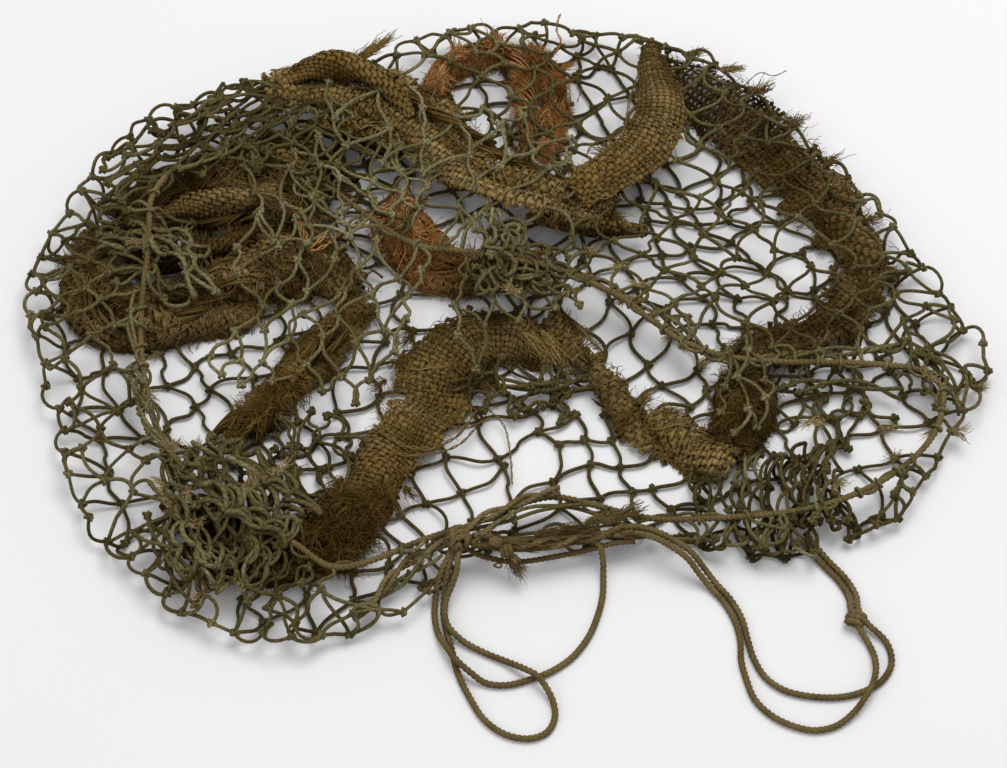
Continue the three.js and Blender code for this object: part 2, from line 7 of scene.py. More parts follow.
import logging
import math
from dataclasses import dataclass, field, replace
from enum import Enum
from functools import partial

import bpy
import numpy as np
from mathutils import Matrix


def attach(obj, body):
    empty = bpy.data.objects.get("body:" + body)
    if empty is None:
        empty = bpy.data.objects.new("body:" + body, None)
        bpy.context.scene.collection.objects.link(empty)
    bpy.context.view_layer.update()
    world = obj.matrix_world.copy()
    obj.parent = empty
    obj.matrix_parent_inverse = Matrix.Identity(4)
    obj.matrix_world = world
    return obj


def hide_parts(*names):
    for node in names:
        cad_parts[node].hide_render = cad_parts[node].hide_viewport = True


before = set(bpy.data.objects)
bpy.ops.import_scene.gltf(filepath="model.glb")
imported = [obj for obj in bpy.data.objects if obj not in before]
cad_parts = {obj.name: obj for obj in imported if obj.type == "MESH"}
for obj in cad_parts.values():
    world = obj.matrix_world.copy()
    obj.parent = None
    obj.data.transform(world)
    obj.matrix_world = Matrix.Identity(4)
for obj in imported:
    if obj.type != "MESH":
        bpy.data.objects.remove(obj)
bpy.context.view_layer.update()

Array = np.ndarray
Maker = np.random.Generator
Place = tuple[float, float, float]
Tree = bpy.types.NodeTree

MM = 0.001
NET_CORD = 1.8 * MM  # net cord, diameter
MESH_SIDE = 17.8 * MM  # cord from one knot to the next
DRAW_CORD = 3.0 * MM  # laid draw cord, diameter
LAY = 7.2 * MM  # length of one turn of the draw cord's three strands
CORD_STEP = LAY / 9  # between sections of the draw cord
SKIN = 1.8 * MM  # one layer of mesh
LOWEST = 0.1 * MM  # of any point over the floor
YARN_LOWEST = 0.8 * MM  # of the middle of a yarn
PER_SPAN = 24  # points on each span of a smooth route
TURN = 2 * math.pi
UP = (0.0, 0.0, 1.0)
BODY = "root"
SEED = 1541
DEEPENS = np.array([1.0, 1.13, 1.60])  # how fast red, green and blue fall in the dark

log = logging.getLogger("helmet_net")


# --- Camera, floor and light ----------------------------------------------------------


@dataclass(frozen=True)
class Studio:
    """Pale sweep, soft light and the camera."""

    lens: float = 110.0
    sensor: float = 36.0
    sees_as_far_as: float = 20.0
    distance: float = 1.418
    elevation: float = 55.0
    looks_at: Place = (0.0, -0.0345, 0.0)
    floor_size: float = 12.0
    floor_tone: float = 0.70
    floor_casts: tuple[Place, Place] = ((0.985, 0.985, 0.99), (1.015, 1.01, 1.01))
    sky: float = 0.62
    lamps: tuple[tuple[str, Place, float, float], ...] = (
        ("key", (0.30, 0.45, 1.55), 1.2, 19.0), ("fill", (-1.2, -0.9, 1.4), 1.6, 7.0),
    )

    def camera(self) -> None:
        """Makes the camera at its viewing angle."""
        up = math.radians(self.elevation)
        x, y, z = self.looks_at
        data = bpy.data.cameras.new("camera")
        data.lens = self.lens
        data.sensor_width = self.sensor
        data.clip_end = self.sees_as_far_as
        camera = bpy.data.objects.new("camera", data)
        away = self.distance
        camera.location = (x, y - away * math.cos(up), z + away * math.sin(up))
        camera.rotation_euler = (math.pi / 2 - up, 0.0, 0.0)
        bpy.context.scene.collection.objects.link(camera)
        bpy.context.scene.camera = camera

    def floor(self) -> None:
        """Lays the pale floor that the net rests on."""
        bpy.ops.object.select_all(action="DESELECT")
        bpy.ops.mesh.primitive_plane_add(size=self.floor_size, location=(0, 0, 0))
        floor = bpy.context.object
        floor.name = "floor"
        material = bpy.data.materials.new("pale_floor")
        material.use_nodes = True
        tree = material.node_tree
        shader = tree.nodes["Principled BSDF"]
        shader.inputs["Roughness"].default_value = 0.75
        place = node(tree, "TexCoord").outputs["Object"]
        cloud = node(tree, "TexNoise", Vector=place, Scale=6.0).outputs["Fac"]
        pale = [(*(self.floor_tone * value for value in cast), 1.0) for cast in self.floor_casts]
        tone = node(tree, "Mix", {"data_type": "RGBA"}, i0=cloud, i6=pale[0], i7=pale[1])
        tree.links.new(tone.outputs["Result"], shader.inputs["Base Color"])
        floor.data.materials.append(material)

    def light(self) -> None:
        """Hangs two soft lights and an even sky, and picks the plain colour transform."""
        for name, place, size, power in self.lamps:
            data = bpy.data.lights.new(name, "AREA")
            data.shape = "DISK"
            data.size = size
            data.energy = power
            lamp = bpy.data.objects.new(name, data)
            lamp.location = place
            x, y, z = place
            lamp.rotation_euler = (math.atan2(math.hypot(x, y), z), 0.0, math.atan2(x, -y))
            bpy.context.scene.collection.objects.link(lamp)
        world = bpy.data.worlds.new("sky")
        world.use_nodes = True
        sky = world.node_tree.nodes["Background"]
        sky.inputs["Color"].default_value = (1.0, 1.0, 1.0, 1.0)
        sky.inputs["Strength"].default_value = self.sky
        bpy.context.scene.world = world
        bpy.context.scene.view_settings.view_transform = "Standard"


# --- Curves ---------------------------------------------------------------------------


def unit(vectors: Array) -> Array:
    """Scales vectors to length one."""
    return vectors / np.maximum(np.linalg.norm(vectors, axis=-1, keepdims=True), 1e-12)


def tangents(paths: Array) -> Array:
    """Directions along paths of shape (..., points, 3)."""
    return unit(np.gradient(paths, axis=-2))


def runs(paths: Array) -> Array:
    """Length of cord up to each point of paths of shape (paths, points, 3)."""
    steps = np.linalg.norm(np.diff(paths, axis=1), axis=-1)
    return np.concatenate([np.zeros((len(paths), 1)), np.cumsum(steps, axis=1)], axis=1)


def above(points: Array, height: float) -> Array:
    """Raises the points that lie lower than a height, and returns them all."""
    points[..., 2] = np.maximum(points[..., 2], height)
    return points


def eased(value: Array) -> Array:
    """Smooth step from 0 to 1."""
    share = np.clip(value, 0.0, 1.0)
    return share * share * (3 - 2 * share)


def hermite(share: Array, start: Array, end: Array, leave: Array, arrive: Array) -> Array:
    """Cubic from a start to an end with stated slopes, at shares of the way."""
    square, cube = share**2, share**3
    return (
        (2 * cube - 3 * square + 1) * start + (cube - 2 * square + share) * leave
        + (3 * square - 2 * cube) * end + (cube - square) * arrive
    )


def smooth_route(points: Array, per_span: int = PER_SPAN) -> Array:
    """Dense points of the smooth open curve through a route.

    Args:
        points: Route, shape (points, 2 or 3).
        per_span: Points on each span.

    Returns:
        The curve's points, evenly many on each span, with the last point.
    """
    ends = (2 * points[0] - points[1], 2 * points[-1] - points[-2])
    full = np.concatenate([[ends[0]], points, [ends[1]]])
    a, b, c, d = full[:-3], full[1:-2], full[2:-1], full[3:]
    gap = np.sqrt(np.linalg.norm(np.diff(full, axis=0), axis=1))[:, None]
    before, span, after = gap[:-2], gap[1:-1], gap[2:]
    leave = ((b - a) / before - (c - a) / (before + span) + (c - b) / span) * span
    arrive = ((c - b) / span - (d - b) / (span + after) + (d - c) / after) * span
    share = (np.arange(per_span) / per_span)[None, :, None]
    curve = hermite(share, b[:, None], c[:, None], leave[:, None], arrive[:, None])
    return np.concatenate([curve.reshape(-1, points.shape[1]), points[-1:]])


def even_steps(points: Array, step: float) -> Array:
    """The same curve with points a step apart."""
    run = runs(points[None])[0]
    places = np.linspace(0.0, run[-1], max(2, int(round(run[-1] / step)) + 1))
    return np.stack([np.interp(places, run, column) for column in points.T], axis=1)


def routed(route: tuple[Place, ...], step: float) -> Array:
    """Even points on the smooth curve through a route in mm."""
    return even_steps(smooth_route(np.array(route) * MM), step)


def set_length_curves(
    start: Array, end: Array, leave: Array, arrive: Array, length: Array, count: int
) -> Array:
    """Cubic curves that each have a stated length.

    Args:
        start: First points, shape (curves, 3).
        end: Last points.
        leave: Unit directions out of the first points.
        arrive: Unit directions out of the last points, back along the curves.
        length: Lengths wanted.
        count: Points on each curve.

    Returns:
        Points, shape (curves, count, 3).
    """
    share = np.linspace(0.0, 1.0, count)[None, :, None]
    low, high = 0.2 * np.linalg.norm(end - start, axis=1), 1.5 * length
    for _ in range(14):
        reach = (low + high) / 2
        first, second = start + leave * reach[:, None], end + arrive * reach[:, None]
        curve = (
            (1 - share) ** 3 * start[:, None] + 3 * share * (1 - share) ** 2 * first[:, None]
            + 3 * share**2 * (1 - share) * second[:, None] + share**3 * end[:, None]
        )
        too_long = runs(curve)[:, -1] > length
        high = np.where(too_long, reach, high)
        low = np.where(too_long, low, reach)
    return curve


class Line:
    """A line of points with its own directions: ahead, to the side and over it."""

    def __init__(self, points: Array) -> None:
        """Works out the length up to each point and the directions there."""
        self.points = points
        self.run = runs(points[None])[0]
        self.side, self.over = across_and_over(tangents(points[None])[0])

    def out(self, turn: Array, spot: Array | slice = slice(None)) -> Array:
        """Directions away from the line at angles from its side, at numbers of points."""
        turn = turn[..., None]
        return np.cos(turn) * self.side[spot] + np.sin(turn) * self.over[spot]


def across_and_over(ahead: Array) -> tuple[Array, Array]:
    """Level direction across a heading, and the direction over it."""
    side = unit(np.cross(ahead, UP))
    return side, np.cross(side, ahead)


@dataclass(frozen=True)
class Drift:
    """Smooth random values over a plane."""

    seed: int
    wave: float
    terms: int = 5

    def at(self, x: Array, y: Array) -> Array:
        """Values from about -1 to 1 at places in metres."""
        maker = np.random.default_rng(self.seed)
        total = np.zeros(np.broadcast(x, y).shape)
        for _ in range(self.terms):
            heading = maker.uniform(0, TURN)
            pull = TURN / (self.wave * maker.uniform(0.7, 1.5))
            lag = maker.uniform(0, TURN)
            total += np.sin(pull * (x * math.cos(heading) + y * math.sin(heading)) + lag)
        return total / math.sqrt(self.terms) / 1.4


# --- Mesh gathering -------------------------------------------------------------------


def toned(tint: float | Array, many: int, long: int, copies: int) -> Array:
    """Colour multiplier of each point of each section.

    Args:
        tint: One number, or numbers of shape (paths, points), or with a last axis of 3.
        many: Number of paths.
        long: Points on each.
        copies: Corners of a section.

    Returns:
        Colours, shape (paths * points * copies, 3).
    """
    tint = np.asarray(tint, float)
    if tint.ndim < 3:
        tint = np.broadcast_to(tint, (many, long))[..., None] ** DEEPENS
    tint = np.broadcast_to(tint, (many, long, 3))
    return np.repeat(tint[:, :, None], copies, 2).reshape(-1, 3)


@dataclass
class Parts:
    """Points and faces of one piece, gathered from many small shapes."""

    batches: list[tuple[Array, ...]] = field(default_factory=list)
    count: int = 0

    def _add(
        self, points: Array, tints: Array, faces: Array, uvs: Array, first: int | None = None
    ) -> None:
        """Adds faces of one corner count.

        Args:
            points: Points, shape (n, 3), or an empty array for faces on earlier points.
            tints: Colour multiplier of each point.
            faces: Point numbers, shape (faces, corners).
            uvs: UV of each corner, shape (faces, corners, 2).
            first: What the point numbers count from, this call's first point if left out.
        """
        first = self.count if first is None else first
        sizes = np.full(len(faces), faces.shape[1])
        corners = (faces + first).ravel()
        self.batches.append((above(points, LOWEST), tints, corners, sizes, uvs.reshape(-1, 2)))
        self.count += len(points)

    def tubes(
        self, paths: Array, radius: float | Array, sides: int = 6, tint: float | Array = 1.0,
        profile: Array | None = None, twist: float = 0.0, closed: bool = False,
    ) -> None:
        """Adds round cords along many paths of equally many points.

        Args:
            paths: Middles, shape (cords, points, 3).
            radius: Radius, one or shape (cords, points).
            sides: Corners of a section.
            tint: Brightness, one or shape (cords, points).
            profile: Share of the radius at each corner of a section.
            twist: Turns of the section for each metre.
            closed: Whether each path joins its own start.
        """
        many, long, _ = paths.shape
        if closed:
            along = unit(np.roll(paths, -1, axis=1) - np.roll(paths, 1, axis=1))
        else:
            along = tangents(paths)
        run = runs(paths)
        normal = np.cross(along[:, 0], UP)
        weak = np.linalg.norm(normal, axis=-1) < 0.2
        normal[weak] = np.cross(along[weak, 0], (1.0, 0.0, 0.0))
        normal = unit(normal)
        normals = np.empty_like(paths)
        for index in range(long):
            here = along[:, index]
            normal = unit(normal - here * np.sum(normal * here, axis=-1, keepdims=True))
            normals[:, index] = normal
        turned = np.arange(sides) * (TURN / sides) + run[:, :, None] * (twist * TURN)
        reach = np.broadcast_to(np.asarray(radius, float), (many, long))[:, :, None]
        reach = reach * (np.ones(sides) if profile is None else profile)
        rings = (
            paths[:, :, None] + (reach * np.cos(turned))[..., None] * normals[:, :, None]
            + (reach * np.sin(turned))[..., None] * np.cross(along, normals)[:, :, None]
        )
        number = np.arange(many * long * sides).reshape(many, long, sides)
        here = number if closed else number[:, :-1]
        ahead = np.roll(number, -1, axis=1) if closed else number[:, 1:]
        quads = np.stack([here, np.roll(here, -1, 2), np.roll(ahead, -1, 2), ahead], -1)
        u = (np.arange(sides)[:, None] + (0, 1, 1, 0)) / sides
        v = np.concatenate([run, run[:, -1:] * 1.06], axis=1) if closed else run
        v = np.stack([v[:, :-1], v[:, :-1], v[:, 1:], v[:, 1:]], -1)[:, :, None]
        uv = np.stack(np.broadcast_arrays(u, v), -1)
        first = self.count
        tones = toned(tint, many, long, sides)
        self._add(rings.reshape(-1, 3), tones, quads.reshape(-1, 4), uv)
        if not closed:
            caps, none = np.concatenate([number[:, 0, ::-1], number[:, -1]]), np.empty((0, 3))
            self._add(none, none, caps, np.zeros((len(caps), sides, 2)), first)

    def ribbons(
        self, paths: Array, up: Array, width: float | Array, crown: float = 0.0,
        tint: float | Array = 1.0, keep: Array | None = None, plain: bool = False,
    ) -> None:
        """Adds flat or crowned yarns along many paths of equally many points.

        Args:
            paths: Middles, shape (yarns, points, 3).
            up: Direction that each yarn's broad side faces, same shape as paths.
            width: Width, one or shape (yarns, points).
            crown: Rise of the middle as a share of the width; 0 for a flat yarn.
            tint: Brightness, one or shape (yarns, points).
            keep: Which stretches are there, shape (yarns, points - 1).
            plain: Whether they are single fibres, with no spun strands and no painted shade along
                their sides.
        """
        many, long, _ = paths.shape
        side = unit(np.cross(up, tangents(paths)))
        wide = np.broadcast_to(np.asarray(width, float), (many, long))[..., None, None]
        share = np.array([-0.5, 0.0, 0.5] if crown else [-0.5, 0.5])
        rise = np.array([0.0, crown, 0.0] if crown else [0.0, 0.0])
        points = (
            paths[:, :, None] + wide * share[:, None] * side[:, :, None]
            + wide * rise[:, None] * up[:, :, None]
        )
        number = np.arange(many * long * len(share)).reshape(many, long, len(share))
        near, far = number[:, :-1], number[:, 1:]
        quads = np.stack([near[..., :-1], far[..., :-1], far[..., 1:], near[..., 1:]], -1)
        run = runs(paths)
        v = np.stack([run[:, :-1], run[:, 1:], run[:, 1:], run[:, :-1]], -1)[:, :, None, :]
        u = np.stack([share[:-1], share[:-1], share[1:], share[1:]], -1) + 0.5
        uv = np.stack(np.broadcast_arrays(np.full_like(u, 0.5) if plain else u, v), -1)
        if keep is not None:
            quads, uv = quads[keep], uv[keep]
        used, packed = np.unique(quads.reshape(-1, 4), return_inverse=True)
        tones = toned(tint, many, long, len(share))[used]
        self._add(points.reshape(-1, 3)[used], tones, packed.reshape(-1, 4), uv)

    def build(self, name: str, finish: "FibreFinish", *nodes: str) -> bpy.types.Object:
        """Makes the object, and says what it rides on, its finish and what it stands for.

        Args:
            name: The piece's name.
            finish: Its finish.
            *nodes: CAD solids that it is seen in place of.

        Returns:
            The new object.
        """
        points, tints, corners, sizes, uvs = map(np.concatenate, zip(*self.batches))
        colours = np.concatenate([tints, np.ones((len(tints), 1))], axis=1)
        mesh = bpy.data.meshes.new(name)
        mesh.vertices.add(len(points))
        mesh.vertices.foreach_set("co", points.astype(np.float32).ravel())
        mesh.loops.add(len(corners))
        mesh.loops.foreach_set("vertex_index", corners.astype(np.int32))
        mesh.polygons.add(len(sizes))
        mesh.polygons.foreach_set("loop_start", (np.cumsum(sizes) - sizes).astype(np.int32))
        mesh.update(calc_edges=True)
        mesh.shade_smooth()
        layer = mesh.uv_layers.new(name="yarn")
        layer.data.foreach_set("uv", uvs.astype(np.float32).ravel())
        # The tint attribute holds each point's tone together with its painted shade and painted
        # highlights.
        tone = mesh.attributes.new("tint", "FLOAT_COLOR", "POINT")
        tone.data.foreach_set("color", colours.astype(np.float32).ravel())
        mesh.materials.append(finish.material())
        piece = bpy.data.objects.new(name, mesh)
        bpy.context.scene.collection.objects.link(piece)
        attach(piece, BODY)
        if nodes:
            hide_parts(*nodes)
        log.info("%s: %d triangles", name, int(np.sum(sizes - 2)))
        return piece


# --- The bag's form -------------------------------------------------------------------

MIDDLE = np.array([19.8, -56.0]) * MM  # the point that every bearing is taken from

# Bearing, then folded rim and mouth's edge from MIDDLE, height of the fold, height of the
# mouth's edge.
FORM = np.array([
    (0, 196, 178, 15, 13), (7, 204, 174, 16, 14), (15, 201, 106, 17, 16), (25, 198, 79, 18, 18),
    (40, 200, 70, 18, 20), (55, 210, 70, 19, 21), (70, 228, 71, 20, 22), (85, 233, 75, 20, 22),
    (100, 233, 80, 21, 22), (115, 230, 93, 22, 23), (127, 246, 114, 24, 24),
    (138, 262, 176, 24, 24), (147, 261, 206, 23, 22), (157, 258, 203, 22, 20),
    (168, 246, 193, 21, 18), (180, 227, 181, 20, 17), (192, 218, 170, 19, 17),
    (203, 207, 158, 18, 16), (214, 196, 140, 17, 16), (225, 172, 130, 15, 15),
    (236, 134, 104, 13, 13), (244, 100, 76, 12, 12), (255, 86, 60, 12, 12), (272, 82, 52, 12, 12),
    (290, 85, 60, 12, 12), (305, 94, 77, 12, 12), (320, 124, 99, 13, 12), (335, 155, 134, 14, 12),
    (348, 178, 158, 14, 13),
], float)

# Places where the upper layer is bunched up: x, y, reach, rise.
HEAPS = np.array(
    [(-150, 70, 42, 7), (-125, -115, 34, 9), (5, 40, 32, 5), (125, -100, 36, 3)], float
) * MM

# Where the net's edge lies further out or in than the fold: bearing, reach, mm out.
EDGE_OUT = np.array([
    (66, 8, -2), (119, 10, -5.5), (138, 9, -6.5), (161, 9, 1), (209, 9, -5.5), (325, 9, 3.5),
    (342, 5, 2), (354, 7, -6), (372, 7, 4), (12, 7, 4), (-6, 7, -6),
], float)

GATHERS = 21  # folds that the draw cord makes round the mouth
GATHER_DEPTH = 1.5 / 24  # their height, as a share of the bag's


@dataclass(frozen=True)
class BagForm:
    """The collapsed bag: lower layer, fold and upper layer round the mouth."""

    def columns(self, bearing: Array) -> tuple[Array, ...]:
        """Rim, mouth, fold height and lip height, in metres, at bearings in degrees."""
        turned = np.mod(bearing, 360.0)
        here = np.searchsorted(FORM[:, 0], turned, side="right") - 1
        four = here[None] + np.arange(-1, 3).reshape((4,) + (1,) * here.ndim)
        lap, row = np.divmod(four, len(FORM))
        place = FORM[row, 0] + 360.0 * lap
        span = place[2] - place[1]
        share = (turned - place[1]) / span
        return tuple(
            hermite(
                share, v[1], v[2], (v[2] - v[0]) / (place[2] - place[0]) * span,
                (v[3] - v[1]) / (place[3] - place[1]) * span,
            )
            for v in (FORM[row, column] * MM for column in range(1, 5))
        )

    def polar(self, x: Array, y: Array) -> tuple[Array, Array]:
        """Bearing in degrees and distance from MIDDLE of places in plan."""
        x, y = x - MIDDLE[0], y - MIDDLE[1]
        return np.degrees(np.arctan2(y, x)), np.hypot(x, y)

    def pushed(self, bearing: Array, table: Array, column: int) -> Array:
        """Sum of a table's column in metres, by how near bearings are to its rows.

        Args:
            bearing: Bearings in degrees.
            table: Rows of a bearing, a reach in degrees and lengths in mm.
            column: Number of the column of lengths.

        Returns:
            Lengths, one for each bearing.
        """
        away = (np.mod(bearing, 360.0)[..., None] - table[:, 0]) / table[:, 1]
        return (np.exp(-(away**2)) * table[:, column]).sum(-1) * MM

    def edge(self, bearing: Array) -> Array:
        """Distance of the net's edge from MIDDLE at bearings in degrees."""
        return self.columns(bearing)[0] + self.pushed(bearing, EDGE_OUT, 2)

    def placed(self, bearing: Array, distance: Array) -> Array:
        """Places in plan at bearings and distances from MIDDLE, shape (..., 2)."""
        turn = np.radians(bearing)
        return np.stack([np.cos(turn) * distance, np.sin(turn) * distance], -1) + MIDDLE

    def heaped(self, x: Array, y: Array) -> Array:
        """How far the bunched places lift the upper layer."""
        return sum(
            lift * np.exp(-((x - hx) ** 2 + (y - hy) ** 2) / reach**2)
            for hx, hy, reach, lift in HEAPS
        )

    def top(self, x: Array, y: Array) -> Array:
        """Height of the upper layer's top over places in plan."""
        bearing, away = self.polar(x, y)
        rim, mouth, high, lip = self.columns(bearing)
        fold = rim - high / 2
        share = np.clip((fold - away) / (fold - mouth), 0, 1)
        flat = high + (lip - high) * share**2 * (3 - 2 * share)
        pleat = GATHER_DEPTH * high * share * np.sin(np.radians(bearing) * GATHERS)
        bend = np.sqrt(np.clip((high / 2) ** 2 - np.clip(away - fold, 0, None) ** 2, 0, None))
        return flat - high / 2 + bend + self.heaped(x, y) * np.minimum(1, 2 * share) + pleat

    def bottom(self, x: Array, y: Array) -> Array:
        """Height of the lower layer's underside over places in plan."""
        bearing, away = self.polar(x, y)
        rim, _, high, _ = self.columns(bearing)
        over = np.clip(away - (rim - high / 2), 0, high / 2)
        return high / 2 - np.sqrt((high / 2) ** 2 - over**2)


BAG = BagForm()


# --- Finishes -------------------------------------------------------------------------


def node(tree: Tree, kind: str, settings: dict | None = None, **inputs: object) -> bpy.types.Node:
    """Adds a node with its settings and unlinked or linked inputs.

    Args:
        tree: Node tree that it goes in.
        kind: Node type without its ShaderNode prefix.
        settings: Values of the node's own properties.
        **inputs: Value or output socket for each input, by name or as i and its number.

    Returns:
        The new node.
    """
    made = tree.nodes.new("ShaderNode" + kind)
    for key, value in (settings or {}).items():
        setattr(made, key, value)
    for key, value in inputs.items():
        socket = made.inputs[int(key[1:]) if key[1:].isdigit() else key]
        if isinstance(value, bpy.types.NodeSocket):
            tree.links.new(value, socket)
        else:
            socket.default_value = value
    return made


def maths(tree: Tree, how: str, a: object, b: object = 0.0) -> bpy.types.NodeSocket:
    """Adds a math node and returns its result."""
    return node(tree, "Math", {"operation": how}, i0=a, i1=b).outputs[0]


def new_group(name: str, takes: dict[str, tuple[str, object]], gives: dict[str, str]) -> Tree:
    """Makes an empty shader node group with named sockets.

    Args:
        name: The group's name.
        takes: Input names with their socket type and first value.
        gives: Output names with their socket type.

    Returns:
        The group's tree, with its input and output nodes.
    """
    tree = bpy.data.node_groups.new(name, "ShaderNodeTree")
    for key, (kind, value) in takes.items():
        socket = tree.interface.new_socket(key, in_out="INPUT", socket_type="NodeSocket" + kind)
        if value is not None:
            socket.default_value = value
    for key, kind in gives.items():
        tree.interface.new_socket(key, in_out="OUTPUT", socket_type="NodeSocket" + kind)
    tree.nodes.new("NodeGroupInput")
    tree.nodes.new("NodeGroupOutput")
    return tree


def spun_yarn_group() -> Tree:
    """Height of spun yarn and its painted shade: strands that wind round it, loose fibres, and
    painted shade between the strands and along the yarn's sides.
    """
    tree = new_group("spun_yarn", {
        "UV": ("Vector", None), "Object": ("Vector", None), "Strands": ("Float", 2.0),
        "Turns": ("Float", 300.0), "Fibre": ("Float", 900.0), "Edges": ("Float", 0.0),
    }, {"Height": "Float", "Groove": "Float", "Fibres": "Float"})
    given, do = tree.nodes["Group Input"].outputs, partial(maths, tree)
    part = node(tree, "SeparateXYZ", i0=given["UV"]).outputs
    around = do("MULTIPLY", part["X"], given["Strands"])
    along = do("MULTIPLY", part["Y"], given["Turns"])
    strand = do("ABSOLUTE", do("SINE", do("MULTIPLY", do("ADD", around, along), math.pi)))
    fibre = node(
        tree, "TexNoise", Vector=given["Object"], Scale=given["Fibre"], Detail=2.0
    ).outputs["Fac"]
    crown = do("SINE", do("MULTIPLY", part["X"], math.pi))
    # The yarn's sides dip in the bump and get painted shade.
    edge = do("MULTIPLY", do("POWER", do("SUBTRACT", 1.0, crown), 1.6), given["Edges"])
    rough = do("ADD", strand, do("MULTIPLY", fibre, 0.7))
    # Painted shade between the spun strands.
    strand_shade = do("MULTIPLY", do("SUBTRACT", 1.0, strand), 0.45)
    out = tree.nodes["Group Output"].inputs
    tree.links.new(do("SUBTRACT", rough, do("MULTIPLY", edge, 2.2)), out["Height"])
    tree.links.new(do("ADD", strand_shade, do("MULTIPLY", edge, 0.75)), out["Groove"])
    tree.links.new(fibre, out["Fibres"])
    return tree


def aged_dye_and_shade_group() -> Tree:
    """Colour of old dyed fibre: faded and soiled in patches, with painted shade in its grooves and
    along the yarns' sides, times the tint attribute, which carries painted shade and highlights.
    """
    tree = new_group("aged_dye_and_shade", {
        "Object": ("Vector", None), "Dyed": ("Color", None), "Faded": ("Color", None),
        "Soiled": ("Color", None), "Tint": ("Color", (1.0, 1.0, 1.0, 1.0)),
        "Groove": ("Float", 0.0), "Fibres": ("Float", 0.5), "Patch": ("Float", 40.0),
    }, {"Color": "Color", "Roughness": "Float"})
    given, do = tree.nodes["Group Input"].outputs, partial(maths, tree)
    noise = partial(node, tree, "TexNoise", Vector=given["Object"])
    patch = noise(Scale=given["Patch"], Detail=3.0).outputs["Fac"]
    fade = node(tree, "MapRange", i0=patch, i1=0.35, i2=0.68).outputs[0]
    dirt = noise(Scale=do("MULTIPLY", given["Patch"], 3.3)).outputs["Fac"]
    grime = node(tree, "MapRange", i0=dirt, i1=0.5, i2=0.75, i4=0.6).outputs[0]
    mix = partial(node, tree, "Mix", {"data_type": "RGBA"})
    faded = mix(i0=fade, i6=given["Dyed"], i7=given["Faded"]).outputs[2]
    soiled = mix(i0=grime, i6=faded, i7=given["Soiled"]).outputs[2]
    speck = do("ADD", do("MULTIPLY", given["Fibres"], 0.9), 0.55)
    # Painted shade from the grooves and the yarns' sides.
    depth = do("MAXIMUM", do("SUBTRACT", 1.0, given["Groove"]), 0.12)
    vector = partial(node, tree, "VectorMath")
    cast = vector({"operation": "MULTIPLY"}, i0=soiled, i1=given["Tint"]).outputs[0]
    colour = vector({"operation": "SCALE"}, i0=cast, Scale=do("MULTIPLY", speck, depth))
    rough = node(tree, "MapRange", i0=dirt, i3=0.72, i4=0.95)
    out = tree.nodes["Group Output"].inputs
    tree.links.new(colour.outputs[0], out["Color"])
    tree.links.new(rough.outputs[0], out["Roughness"])
    return tree


@dataclass(frozen=True)
class FibreFinish:
    """Finish of one kind of cord or yarn."""

    name: str
    slot: str
    dyed: Place
    faded: Place
    soiled: Place
    strands: float = 2.0
    turns: float = 300.0
    fibre: float = 900.0
    patch: float = 40.0
    bump: float = 0.5
    relief: float = 0.25 * MM
    gloss: float = 0.04
    # How far each yarn's sides dip, and how much painted shade they get.
    edges: float = 0.0

    def material(self) -> bpy.types.Material:
        """Makes the material, or returns the one already made."""
        known = bpy.data.materials.get(self.name)
        if known:
            return known
        material = bpy.data.materials.new(self.name)
        material.use_nodes = True
        tree = material.node_tree
        shader = tree.nodes["Principled BSDF"].inputs
        place = node(tree, "TexCoord").outputs
        # The tint attribute carries painted shade and painted highlights as well as tone.
        tint = node(tree, "Attribute", {"attribute_name": "tint"}).outputs["Color"]
        groups = bpy.data.node_groups
        yarn = node(
            tree, "Group", {"node_tree": groups.get("spun_yarn") or spun_yarn_group()},
            UV=place["UV"], Object=place["Object"], Strands=self.strands, Turns=self.turns,
            Fibre=self.fibre, Edges=self.edges,
        ).outputs
        dye = node(
            tree, "Group", {"node_tree": groups.get("aged_dye_and_shade") or aged_dye_and_shade_group()},
            Object=place["Object"], Tint=tint, Groove=yarn["Groove"], Fibres=yarn["Fibres"],
            Dyed=(*self.dyed, 1.0), Faded=(*self.faded, 1.0), Soiled=(*self.soiled, 1.0),
            Patch=self.patch,
        ).outputs
        height = yarn["Height"]
        bump = node(tree, "Bump", Strength=self.bump, Distance=self.relief, Height=height)
        tree.links.new(dye["Color"], shader["Base Color"])
        tree.links.new(dye["Roughness"], shader["Roughness"])
        tree.links.new(bump.outputs["Normal"], shader["Normal"])
        shader["Specular IOR Level"].default_value = self.gloss
        return material


HESSIAN = {"turns": 420.0, "fibre": 1300.0, "bump": 0.6, "edges": 1.0}
NET = FibreFinish(
    "net_twine", "net_cord", (0.112, 0.092, 0.033), (0.184, 0.159, 0.073),
    (0.052, 0.043, 0.016), gloss=0.12,
)
KHAKI = FibreFinish(
    "khaki_hessian", "scrim_khaki", (0.150, 0.093, 0.025), (0.215, 0.143, 0.050),
    (0.072, 0.043, 0.012), patch=30.0, **HESSIAN,
)
DARK = FibreFinish(
    "dark_hessian", "scrim_dark", (0.112, 0.069, 0.020), (0.170, 0.112, 0.040),
    (0.048, 0.029, 0.009), patch=32.0, **HESSIAN,
)
RUST = FibreFinish(
    "rust_hessian", "scrim_rust", (0.310, 0.135, 0.038), (0.430, 0.215, 0.078),
    (0.150, 0.072, 0.022), patch=45.0, **HESSIAN,
)
CORD = FibreFinish(
    "laid_cord", "draw_cord", (0.122, 0.083, 0.029), (0.178, 0.129, 0.053),
    (0.060, 0.040, 0.014), strands=6.0, turns=500.0, fibre=1500.0, bump=0.4,
    relief=0.15 * MM, gloss=0.15,
)
